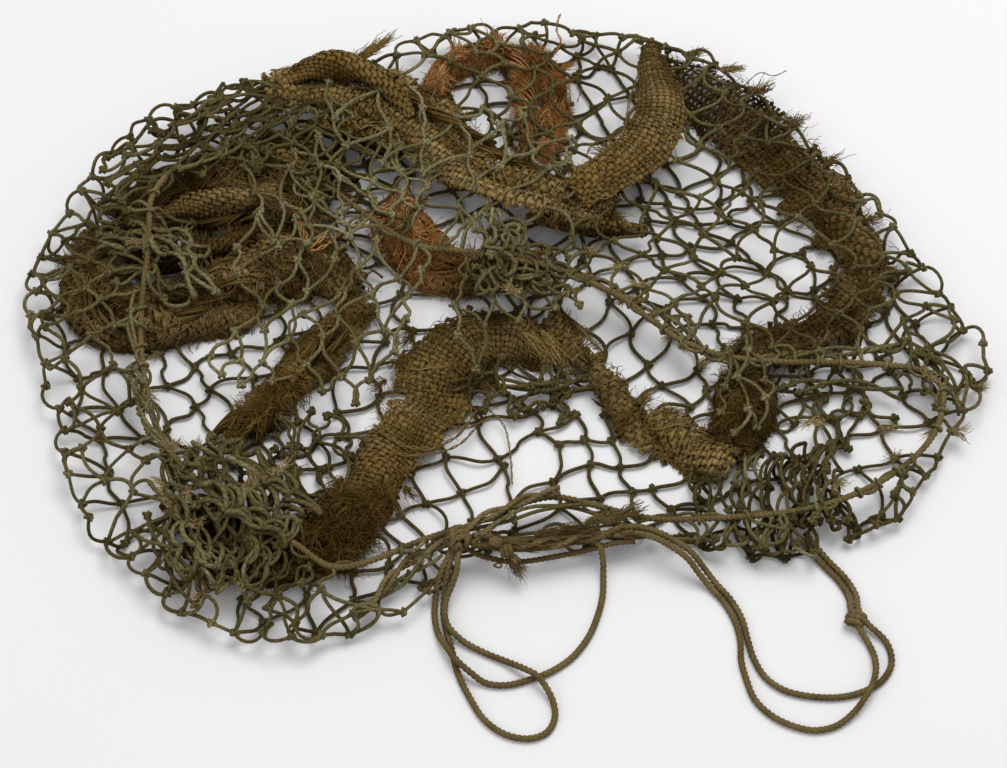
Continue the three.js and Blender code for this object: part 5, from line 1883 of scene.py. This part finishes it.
class StripSurface:
    """The lay of a strip: places on it from lengths along and across."""

    def __init__(self, strip: Strip, seed: int) -> None:
        """Works out the strip's middle line and the size of its cloth laid flat.

        Args:
            strip: The strip.
            seed: Seed of its crumples.
        """
        self.strip = strip
        feet = np.broadcast_to(strip.foot, len(strip.rows))
        self.rows = np.column_stack([strip.rows, feet]) * (MM, MM, MM, 1, MM, MM)
        self.route = smooth_route(self.rows[:, :2])
        self.run = runs(self.route[None])[0]
        self.along = tangents(self.route[None])[0]
        self.length = float(self.run[-1])
        self.folds = Drift(seed, 0.022), Drift(seed + 1, 0.05)
        self.wander = Drift(seed + 2, 0.07), Drift(seed + 4, 0.045)
        along = np.linspace(0, self.length, 120)
        half = self.half(along)
        lines = self.points(along, np.linspace(-0.9, 0.9, 7)[:, None] * half)
        self.flat_length = float(runs(lines)[:, -1].mean())
        across = np.linspace(-1, 1, 60) * half[:, None]
        self.flat_width = float(runs(self.points(along[:, None], across))[:, -1].mean())
        self.plan_width = float(2 * half.mean())

    def column(self, index: int, along: Array) -> Array:
        """Width, tilt, arch or foot of the strip at lengths along it."""
        share = np.interp(along, self.run, np.arange(len(self.run)) / PER_SPAN)
        low = np.minimum(share.astype(int), len(self.rows) - 2)
        blend = eased(share - low)
        return self.rows[low, index] * (1 - blend) + self.rows[low + 1, index] * blend

    def half(self, along: Array) -> Array:
        """Half the strip's width at lengths along it."""
        return self.column(2, along) / 2

    def pleat(self, along: Array, share: Array) -> Array:
        """Phase of the lengthwise folds: whole turns are crests."""
        strip = self.strip
        drift = 1.5 * self.wander[0].at(along, 0.0 * along)
        return math.pi * strip.pleats * share + TURN * strip.twist * along / self.length + drift

    def share(self, along: Array, across: Array) -> Array:
        """Distance from the middle line as a share of half the width."""
        return np.clip(across / self.half(along), -1.15, 1.15)

    def points(self, along: Array, across: Array, smooth: bool = False) -> Array:
        """Places on the strip's middle surface.

        Args:
            along: Lengths along the strip, in metres.
            across: Distances from its middle line, in metres.
            smooth: Whether to leave the crumples out.

        Returns:
            Points, with a last axis of 3.
        """
        strip = self.strip
        along, across = np.broadcast_arrays(along, across)
        beyond = along - np.clip(along, 0, self.length)
        tx, ty = (np.interp(along, self.run, column) for column in self.along.T)
        x, y = (np.interp(along, self.run, column) for column in self.route.T)
        x, y = x + beyond * tx, y + beyond * ty
        width, tilt, arch, foot = (self.column(index, along) for index in (2, 3, 4, 5))
        lean = np.radians(tilt)
        share = self.share(along, across)
        rise = arch * (1 - share**2)
        if not smooth:
            deep = strip.depth * MM * (0.8 + 0.35 * self.wander[1].at(along, 0.0 * along))
            phase = self.pleat(along, share)
            across = across + 1.15 * deep * np.sin(phase) * (1.15 - 0.5 * share**2)
            fold = self.folds[0].at(along, across * 0.6)
            fold = fold + 0.8 * self.folds[1].at(along * 0.8, across)
            rise = rise + deep * np.cos(phase) + fold * strip.crumple * MM
        z = foot + width / 2 * np.abs(np.sin(lean)) + 0.8 * MM
        flat = across * np.cos(lean) - rise * np.sin(lean)
        x, y = x - ty * flat, y + tx * flat
        z = z + across * np.sin(lean) + rise * np.cos(lean)
        if strip.lies is not Lies.FLOOR:
            z = z + BAG.top(x, y) - SKIN * (strip.lies is Lies.BENEATH)
        return np.stack([x, y, z], -1)

    def shade(self, along: Array, across: Array) -> Array:
        """How light the cloth is painted: painted shade in the hollows of its folds, painted
        highlight on their crests.
        """
        deep = min(self.strip.depth / 3.0, 1.0)
        folds = self.folds[0].at(along, across * 0.6)
        crest = deep * 0.30 * np.cos(self.pleat(along, self.share(along, across)))
        return np.clip(0.95 + crest + 0.12 * self.strip.crumple * folds, 0.4, 1.35)

    def stretch(self, along: Array, across: Array, sideways: bool) -> Array:
        """How far the folds spread the yarns apart, in the cloth's own plane."""
        step = 0.5 * MM
        there = self.points(along + step * (not sideways), across + step * sideways)
        gap = np.linalg.norm(there - self.points(along, across), axis=-1) / step
        mean = self.flat_width / self.plan_width if sideways else self.flat_length / self.length
        spread = np.clip(gap / mean, 0.80, 1.55)
        return spread / spread.mean() ** 1.5

    def lifted(self, along: Array, across: Array, lift: Array) -> tuple[Array, Array]:
        """Places above the surface, and the direction that it faces there."""
        step = 0.4 * MM
        here = self.points(along, across)
        ahead = self.points(along + step, across) - here
        up = unit(np.cross(ahead, self.points(along, across + step) - here))
        return above(here + up * lift[..., None], 0.7 * MM), up


@dataclass
class ScrimStrip:
    """Weaves one strip from its yarns, and gives it loose slivers and hairs."""

    strip: Strip
    seed: int

    def __post_init__(self) -> None:
        """Starts its surface, its random source and its ragged edges."""
        self.surface = StripSurface(self.strip, self.seed)
        self.maker = np.random.default_rng(self.seed)
        pitch = self.strip.pitch * MM
        self.warps = max(4, round(self.surface.flat_width / pitch))
        self.picks = max(6, round(self.surface.flat_length / pitch))
        self.step = self.surface.length / self.picks
        blocks = int(self.surface.length / (4 * MM)) + 4
        self.breaks = np.cumsum(self.maker.uniform(4, 13, blocks)) * MM
        self.notches = self.maker.uniform(0, 1, (2, blocks + 1)) ** 2.0
        self.tufts = self.maker.uniform(0.1, 1.0, (2, blocks + 1)) ** 1.5 * 1.5

    def block(self, along: Array) -> Array:
        """Number of the stretch of edge at lengths along the strip."""
        return np.searchsorted(self.breaks, along)

    def cast(self, along: Array) -> Array:
        """Colour multipliers at lengths along the strip, with a last axis of 3."""
        share = along / self.surface.length
        place, *colours = zip(*self.strip.casts)
        colours = colours * (3 // len(colours))
        return np.stack([np.interp(share, place, colour) for colour in colours], -1)

    def coloured(self, tone: Array, along: Array) -> Array:
        """Colours of a brightness at lengths along the strip, for single fibres and yarns."""
        return (self.strip.tint * tone)[..., None] ** DEEPENS * self.cast(along)

    def wobble(self, rows: int, long: int, size: float) -> Array:
        """Smooth wandering of each yarn."""
        spans = np.linspace(0, 1, long) * long / 9
        lag = self.maker.uniform(0, TURN, (rows, 3, 1))
        pull = self.maker.uniform(0.5, 2.2, (rows, 3, 1))
        return size * np.sin(pull * spans + lag).sum(1) / 2

    def weave(self, parts: Parts) -> None:
        """Adds the yarns that run along the strip and across it, over and under."""
        strip, maker, surface = self.strip, self.maker, self.surface
        loose = 1 - strip.tidy
        relief = 0.52 * MM
        holes = Drift(self.seed + 3, 0.016)
        cut = 1.15 - 2.2 * strip.gaps if strip.gaps else 9.0
        fray = strip.fray * MM

        # Yarns along the strip.
        number = np.arange(self.warps)[:, None]
        long = 2 * self.picks + 7
        ends = maker.uniform(0.2, 1.3, (self.warps, 2)) * fray
        share = np.linspace(0, 1, long)[None]
        along = -ends[:, :1] + share * (surface.length + ends.sum(1, keepdims=True))
        half = surface.half(along)
        across = (number - (self.warps - 1) / 2) / self.warps * 2 * half
        across = across + self.wobble(self.warps, long, (0.15 + 0.45 * loose) * MM)
        wave = np.cos(math.pi * (along / self.step + number))
        lift = relief * wave + self.wobble(self.warps, long, 0.4 * loose * MM)
        middle, sideways = halfway(along), halfway(across)
        margin = 1 - strip.ragged * self.notches[(sideways > 0).astype(int), self.block(middle)]
        keep = (np.abs(sideways) < margin * halfway(half)) & (holes.at(middle, sideways) < cut)
        self.yarns(parts, along, across, lift, wave, keep, True)

        # Yarns across the strip.
        number = np.arange(self.picks + 1)[:, None]
        many = number.shape
        long = 2 * self.warps + 5
        half = surface.half(number * self.step)
        block = self.block(number * self.step)[:, 0]
        margin = 1 - strip.ragged * self.notches[:, block].T
        ends = self.tufts[:, block].T * maker.uniform(0.1, 1.0, (len(number), 2)) * fray
        reach = half * margin + ends
        across = -reach[:, :1] + np.linspace(0, 1, long)[None] * reach.sum(1, keepdims=True)
        bow = 1.6 * MM * Drift(self.seed + 5, 0.05).at(number * self.step, 0.0)
        edge = np.where(across > 0, margin[:, 1:], margin[:, :1]) * half
        outside = np.maximum(np.abs(across) - edge, 0)
        stray = maker.normal(0, 0.45, many) * outside
        along = number * self.step + bow * np.cos(across / half) + stray
        along = along + self.wobble(len(number), long, (0.15 + 0.40 * loose) * MM)
        order = across / (2 * half) * self.warps + (self.warps - 1) / 2
        wave = -np.cos(math.pi * (number + order))
        lift = np.where(outside > 0, 0.0, relief * wave) + maker.normal(0, 0.3, many) * outside
        keep = holes.at(halfway(along) + 3 * MM, halfway(across)) < cut
        keep &= maker.uniform(0, 1, many) > 0.4 * strip.gaps
        self.yarns(parts, along, across, lift, wave, keep, False)

    def yarns(
        self, parts: Parts, along: Array, across: Array, lift: Array, wave: Array, keep: Array,
        lengthwise: bool,
    ) -> None:
        """Adds crowned yarns whose light follows how high they ride."""
        strip, maker, many = self.strip, self.maker, (len(along), 1)
        places, up = self.surface.lifted(along, across, lift)
        thin = strip.thinned + (1 - strip.thinned) * eased(along / self.surface.length * 2.2)
        thick = strip.yarn * MM * thin * maker.uniform(0.85, 1.12, many)
        thick = thick * self.surface.stretch(along, across, lengthwise)
        thick = thick * (1 + 0.15 * np.sin(along * 900 + maker.uniform(0, 6, many)))
        # Painted shade where a yarn dips under the next and in the folds, painted highlight on the
        # fold crests.
        tone = maker.uniform(0.82, 1.18, many) * (0.72 + 0.44 * wave)
        tone = tone * self.surface.shade(along, across)
        parts.ribbons(places, up, thick, CROWN, self.coloured(tone, along), keep)

    def hanks(self, parts: Parts) -> None:
        """Adds yarns twisted together into hanks that run the strip's length."""
        strip, maker, surface = self.strip, self.maker, self.surface
        for hank in range(strip.hanks):
            first, last = maker.uniform(-0.02, 0.12), maker.uniform(0.85, 1.02)
            count = max(8, int(surface.length * (last - first) / HANK_STEP))
            along = np.linspace(first, last, count) * surface.length
            sway, swell, rise = (
                Drift(self.seed + seed + hank, wave).at(along, 0.0)
                for seed, wave in ((20, 0.06), (40, 0.03), (60, 0.04))
            )
            sway = 1.5 * ((hank + 0.5) / strip.hanks - 0.5) + 0.44 * sway
            reach = strip.hank_reach * MM * (0.85 + 0.2 * swell)
            middle = surface.points(along, surface.half(along) * sway, smooth=True)
            middle[:, 2] += reach * 0.8 + 1.2 * MM * rise
            self.hank(parts, middle, reach, strip.tint, self.cast(along))
        for skein in strip.skeins:
            middle = routed(skein.route, HANK_STEP)
            plain = np.ones((len(middle), 3))
            self.hank(parts, middle, skein.radius * MM * plain[:, 0], skein.tint, plain)

    def hank(self, parts: Parts, middle: Array, reach: Array, tint: float, cast: Array) -> None:
        """Adds one hank of yarns round a line of points, with fibres that stand off it.

        Args:
            parts: Piece that it goes into.
            middle: Points of its middle, shape (count, 3).
            reach: Radius at each point.
            tint: Brightness.
            cast: Colour multipliers at each point.
        """
        maker, line = self.maker, Line(middle)
        count = len(middle)
        strands = max(7, round(TURN * float(reach.mean()) / (1.7 * MM)))
        reach = reach * rounded_ends(count, 0.06, 0.35)
        lay = maker.uniform(34, 60) * MM * maker.choice([-1.0, 1.0])
        turn = TURN * (np.arange(strands)[:, None] / strands + line.run / lay)
        turn = turn + self.wobble(strands, count, 0.5)
        out = line.out(turn)
        loose = 1 + self.wobble(strands, count, 0.22)
        places = above(middle + out * (reach * loose)[..., None], YARN_LOWEST)
        thick = reach * TURN / strands * maker.uniform(0.85, 1.25, (strands, 1))
        # Painted light: strands on top of the hank are lighter, those beneath darker.
        tone = tint * maker.uniform(0.62, 1.2, (strands, 1)) * (0.80 + 0.28 * np.sin(turn))
        parts.ribbons(places, out, thick, 0.34, tone[..., None] ** DEEPENS * cast)
        many = (count * 3, 1)
        start = maker.integers(0, count, many)
        share = np.linspace(0, 1, 4)
        reached = np.clip(start + share * maker.uniform(-3, 3, many), 0, count - 1)
        turn = maker.uniform(0, TURN, many) + share * maker.normal(0, 1.2, many)
        far = reach[start] * (0.95 + share * maker.uniform(0.1, 0.6, many))
        near = reached.astype(int)
        out = line.out(turn, near)
        number = np.arange(count)
        core = np.stack([np.interp(reached, number, column) for column in middle.T], -1)
        places = above(core + out * far[..., None], YARN_LOWEST)
        tone = (tint * maker.uniform(0.5, 1.3, many))[..., None] ** DEEPENS * cast[near]
        parts.ribbons(places, out, 0.36 * MM, 0.0, tone, plain=True)

    def rolled(self, parts: Parts, roll: Roll) -> None:
        """Weaves one length of scrim rolled up on itself."""
        maker = self.maker
        step = self.strip.pitch * MM / 2
        line = Line(routed(roll.route, step))
        run, count = line.run, len(line.points)
        radius = roll.radius * MM
        taper = rounded_ends(count, 0.05, 0.4)
        strands = max(8, round(TURN * radius / (2 * step)))
        lay = maker.uniform(70, 110) * MM * maker.choice([-1.0, 1.0])
        lumps = [Drift(int(maker.integers(1000)), wave * MM) for wave in (14, 30)]

        def placed(number: Array, turn: Array, wave: Array) -> tuple[Array, Array, Array]:
            """Places, directions out and painted light at steps along and turns round: lighter on
            top, on fold ridges and where a yarn rides over, darker beneath and where it dips under.
            """
            spot = number.astype(int)
            x, y = 8 * MM * np.cos(turn), 8 * MM * np.sin(turn)
            bumps = lumps[0].at(run[spot] + x, y) + lumps[1].at(run[spot] - x, y)
            fold = 0.16 * np.sin(2 * turn + run[spot] / (9 * MM))
            reach = radius * taper[spot] * (1 + 0.13 * bumps + fold) + 0.42 * MM * wave
            out = line.out(turn, spot)
            places = above(line.points[spot] + out * reach[..., None], YARN_LOWEST)
            tone = roll.tint * (0.74 + 0.38 * wave) * (0.80 + 0.28 * np.sin(turn) + 1.2 * fold)
            return places, out, np.clip(tone, 0.1, 1.4)

        number = np.broadcast_to(np.arange(count), (strands, count))
        order = np.arange(strands)[:, None]
        turn = TURN * (order / strands + run[None] / lay)
        places, out, tone = placed(number, turn, np.cos(math.pi * (number / 2 + order)))
        tone = tone * maker.uniform(0.82, 1.18, (strands, 1))
        width = 2 * step * 0.96
        parts.ribbons(places, out, width, CROWN, tone)
        total = np.arange((count - 1) // 2 * 2 * strands)
        number = total / strands
        turn = TURN * (total / (2 * strands) + np.interp(number, np.arange(count), run) / lay)
        wave = -np.cos(math.pi * (np.round(number / 2) + total / 2))
        places, out, tone = placed(number, turn, wave)
        parts.ribbons(places[None], out[None], width, CROWN, tone[None])

    def walk(self, start: Array, side: Array, heading: Array, step: Array) -> tuple[Array, Array]:
        """Lengths along and across the strip after each step of a stated heading."""
        along = start + np.cumsum(np.cos(heading), axis=1) * step
        return along, side + np.cumsum(np.sin(heading), axis=1) * step

    def winding(self, first: Array, size: float, points: int) -> Array:
        """Headings that wind away from a first one, shape (fibres, points)."""
        return first + np.cumsum(self.maker.normal(0, size, (len(first), points)), axis=1)

    def fibres(
        self, parts: Parts, along: Array, across: Array, height: Array, width: Array,
        tone: Array, crown: float = 0.0,
    ) -> None:
        """Adds fibres, or slivers if they have a crown, at heights over the surface."""
        places, up = self.surface.lifted(along, across, height)
        parts.ribbons(places, up, width, crown, self.coloured(tone, along), plain=not crown)

    def strays(
        self, parts: Parts, count: int, length: tuple[float, float], width: float, lift: float,
        spread: float, crown: float, points: int,
    ) -> None:
        """Adds loose slivers that lie along the strip.

        Args:
            parts: Piece that they go into.
            count: How many.
            length: Shortest and longest, mm.
            width: Width, mm.
            lift: Most height over the surface, mm.
            spread: Spread of their headings, radians.
            crown: Rise of a sliver's middle as a share of its width.
            points: Points on each.
        """
        if not count:
            return
        maker, surface, many = self.maker, self.surface, (count, 1)
        start = maker.uniform(-2 * MM, surface.length, many)
        half = surface.half(start)
        side = maker.uniform(-1.0, 1.0, many) * half
        heading = self.winding(maker.normal(0, spread, many), 0.34, points)
        heading += np.where(maker.uniform(size=many) < 0.5, math.pi, 0)
        step = maker.uniform(*length, many) * MM / (points - 1)
        along, across = self.walk(start, side, heading, step)
        across = np.clip(across, -half - 2 * MM, half + 2 * MM)
        share = np.linspace(0, 1, points)[None]
        hump = np.sin(share * math.pi * maker.uniform(0.8, 2.6, many) + maker.uniform(0, 3, many))
        height = (0.7 + maker.uniform(0.1, 1.0, many) * lift * (0.6 + 0.4 * hump)) * MM
        tone = STRAY_TINT * maker.uniform(0.6, 1.3, many) * surface.shade(along, across)
        taper = np.sin(np.clip(share * 1.05, 0.04, 0.97) * math.pi) ** 0.4
        wide = width * MM * taper * maker.uniform(0.6, 1.3, many)
        self.fibres(parts, along, across, height, wide, tone, crown)

    def edge_hairs(self, parts: Parts) -> None:
        """Adds short curling fibres that stand out from the edges and ends in tufts."""
        maker, surface, many = self.maker, self.surface, (2 * self.strip.hairs, 1)
        points = 5
        tufts = maker.uniform(0, surface.length, max(3, many[0] // 9))
        start = maker.choice(tufts, many) + maker.normal(0, 1.5 * MM, many)
        side = np.where(maker.uniform(size=many) < 0.5, -1.0, 1.0)
        first = side * math.pi / 2 + maker.normal(0, 0.6, many)
        heading = self.winding(first, 0.5, points)
        step = maker.uniform(1.6, 2.4 + 0.8 * self.strip.fray, many) * MM / (points - 1)
        root = side * surface.half(start) * maker.uniform(0.75, 0.95, many)
        along, across = self.walk(start, root, heading, step)
        share = np.linspace(0, 1, points)
        rise = np.clip(maker.normal(0.1, 0.5, many) * share * step * points, -3 * MM, 3 * MM)
        width = np.linspace(1.0, 0.35, points) * maker.uniform(0.3, 0.7, many) * MM
        tone = STRAY_TINT * maker.uniform(0.6, 1.2, many)
        self.fibres(parts, along, across, 0.4 * MM + rise, width, tone)

    def fuzz(self, parts: Parts) -> None:
        """Adds the short fibres that have worked out of the yarns all over the cloth."""
        maker, surface = self.maker, self.surface
        area = surface.flat_width * surface.flat_length
        many = (int(self.strip.fluff * area / (4.5 * MM * MM)), 1)
        points = 4
        start = maker.uniform(-1 * MM, surface.length + 1 * MM, many)
        side = maker.uniform(-1, 1, many)
        side = np.sign(side) * np.abs(side) ** 0.6 * surface.half(start) * 0.97
        heading = self.winding(maker.uniform(0, TURN, many), 0.6, points)
        step = maker.uniform(1.5, 6.0, many) * MM / (points - 1)
        along, across = self.walk(start, side, heading, step)
        hump = np.sin(np.linspace(0, 1, points) * math.pi)
        height = (0.75 + 1.1 * maker.uniform(0, 1, many) * hump) * MM
        width = maker.uniform(0.22, 0.50, many) * MM
        tone = maker.uniform(0.55, 1.25, many) * surface.shade(along, across)
        self.fibres(parts, along, across, height, width, tone)

    def build(self) -> None:
        strip, surface = self.strip, self.surface
        cloth, fringe = Parts(), Parts()
        self.weave(cloth)
        self.hanks(fringe)
        for roll in strip.rolls:
            self.rolled(fringe, roll)
        for row in strip.fans:
            Fan.of(row).comb(fringe, self.maker)
        for yarn in strip.loose:
            loose_yarn(fringe, self.maker, yarn)
        self.strays(
            fringe, strip.slivers, (14, 40), width=1.35, lift=1.6, spread=0.25, crown=0.3, points=14
        )
        self.strays(
            fringe, strip.hairs, (5, 15), width=0.36, lift=1.2, spread=0.9, crown=0.0, points=7
        )
        self.edge_hairs(fringe)
        self.fuzz(fringe)
        piece = cloth.build(f"{strip.node}_cloth", strip.finish, strip.node)
        tuft = fringe.build(strip.node.replace("scrim_", "fringe_"), strip.finish)


# --- Frayed ends and gathered cords ---------------------------------------------------


@dataclass(frozen=True)
class Gather:
    """Net cords that run together: how many, how far apart, and their route in mm."""

    count: int
    spread: float
    tint: float
    route: tuple[Place, ...]


GATHERS_OF_CORD = (
    Gather(2, 1.8, 0.9, ((-28, -133, 13), (-40, -141, 10), (-50, -150, 8), (-60, -160, 6))),
    Gather(3, 2.0, 0.6, ((-24, -40, 5), (-8, -38, 6), (10, -41, 7), (26, -41, 6), (42, -36, 6))),
    Gather(2, 2.0, 0.65, (
        (118, -44, 8), (134, -42, 8), (150, -40, 9), (166, -42, 9), (182, -46, 9),
    )),
    Gather(2, 1.6, 0.95, (
        (-14, -126, 16), (0, -119, 16), (16, -113, 16), (34, -112, 15), (50, -116, 13.5),
        (58, -119.5, 12), (64, -123, 10),
    )),
    Gather(4, 2.6, 1.05, (
        (-167, -42, 18), (-162, -62, 18), (-156, -78, 18), (-149, -92, 19), (-140, -106, 20),
    )),
    Gather(2, 1.5, 1.0, ((-169, 4, 20), (-171, -14, 19), (-168, -32, 18), (-162, -50, 18))),
    Gather(2, 1.3, 0.9, ((-96, 72, 21), (-90, 63, 20), (-84, 52, 18))),
    Gather(3, 1.8, 0.9, ((6, 22, 22), (23, 17, 21), (37, 12, 20), (52, 5, 18), (66, -2, 17))),
    Gather(2, 1.6, 0.8, ((66, -2, 17), (80, -14, 16), (92, -26, 15), (106, -35, 14))),
    Gather(3, 1.8, 0.8, ((186, -22, 12), (196, -30, 12), (204, -42, 11), (207, -58, 10))),
    Gather(3, 1.5, 0.85, (
        (100, -40, 13), (118, -30, 12), (140, -26, 12), (162, -24, 12), (182, -22, 12),
    )),
)

# Roots of the frayed ends, mm.
TUFTS = (
    (170, -78, 12), (154, -95, 12), (194, -68, 11), (206, -64, 10), (216, -44, 9), (192, -44, 11),
    (-151, -116, 20), (-129, -127, 20), (-96, -79, 12), (-140, -79, 17), (-2, 22, 25), (3, 5, 24),
    (40, 16, 20), (54, -1, 18), (-143, -111, 22), (-106, -93, 22), (-96, -98, 22), (-163, 29, 27),
    (-150, 38, 27), (-164, -10, 17), (-160, -16, 17), (-147, -108, 21), (-112, -150, 10),
    (-124, -160, 8), (72, -10, 17), (20, 12, 22), (140, -64, 13), (176, -60, 12), (54, 12, 19),
    (34, 5, 19), (61, 0, 18), (67, -11, 17), (81, -25, 16), (90, -31, 15), (-169, -29, 18),
    (-164, -42, 19), (-160, -58, 19), (-154, -72, 19), (-149, -84, 19), (-144, -94, 20),
    (-136, -104, 21), (-128, -100, 21), (-110, -98, 21),
)


@dataclass
class NetTrimmings:
    """Frayed straw-coloured cord ends, and cords of the net that run in gathers."""

    maker: Maker
    knots: Array

    def tufts(self) -> None:
        """Makes the frayed ends, each at the nearest knot if one is near."""
        parts = Parts()
        for x, y, z in TUFTS:
            away = np.linalg.norm((self.knots / MM - (x, y, z)) * (1, 1, 0.4), axis=1)
            if away.min() < 9:
                x, y, z = self.knots[away.argmin()] / MM + (0, 0, 0.6)
            for _ in range(2):
                lean = self.maker.normal(0, 4.0, 2)
                tip = (x + lean[0], y + lean[1], z + self.maker.uniform(0.5, 3))
                Fan((x, y, z), tip, 1.6, 22, 0.9, 0.5).comb(parts, self.maker)
        parts.build("frayed_cord_ends", STRAW)

    def gathers(self) -> None:
        """Makes the cords that run side by side, with a knot here and there."""
        maker, parts = self.maker, Parts()
        for gather in GATHERS_OF_CORD:
            line = Line(routed(gather.route, 2.0 * MM))
            for index in range(gather.count):
                turn = line.run / (maker.uniform(35, 70) * MM) * TURN + TURN * index / gather.count
                reach = gather.spread * MM * (1 + 0.35 * np.sin(line.run / (9 * MM) + index))
                path = line.points + reach[:, None] * line.out(turn)
                tone = gather.tint * maker.uniform(0.75, 1.15)
                parts.tubes(path[None], NET_CORD / 2 * 1.08, 6, tone)
                spots = path[maker.integers(3, len(path) - 3, 2)]
                knots = turned_copies(knot_shape(0.62 * MM), spots, maker, 0.8)
                # Painted highlight on the knots.
                parts.tubes(knots, 0.9 * MM, 5, 1.15 * tone, closed=True)
        parts.build("net_gathered_cords", NET)


# --- Assembly -------------------------------------------------------------------------


def main() -> None:
    """Builds the camera, the cords, the net, the scrim and the studio, in that order."""
    studio = Studio()
    studio.camera()
    cord = DrawCord(np.random.default_rng(SEED + 1))
    cord.loops()
    route = ring_route()
    cord.ring(route)
    cord.knot()
    cord.bundle()
    net = KnottedNet(route)
    net.build()
    for index, strip in enumerate(STRIPS):
        ScrimStrip(strip, SEED + 100 * (index + 1)).build()
    drawn = sorted(index for numbers in net.knots.values() for index in numbers)
    trimmings = NetTrimmings(np.random.default_rng(SEED + 9), net.web.places[drawn])
    trimmings.tufts()
    trimmings.gathers()
    studio.floor()
    studio.light()


if __name__ == "__main__":
    logging.basicConfig(level=logging.INFO, format="%(message)s")
    main()
    bpy.context.view_layer.update()
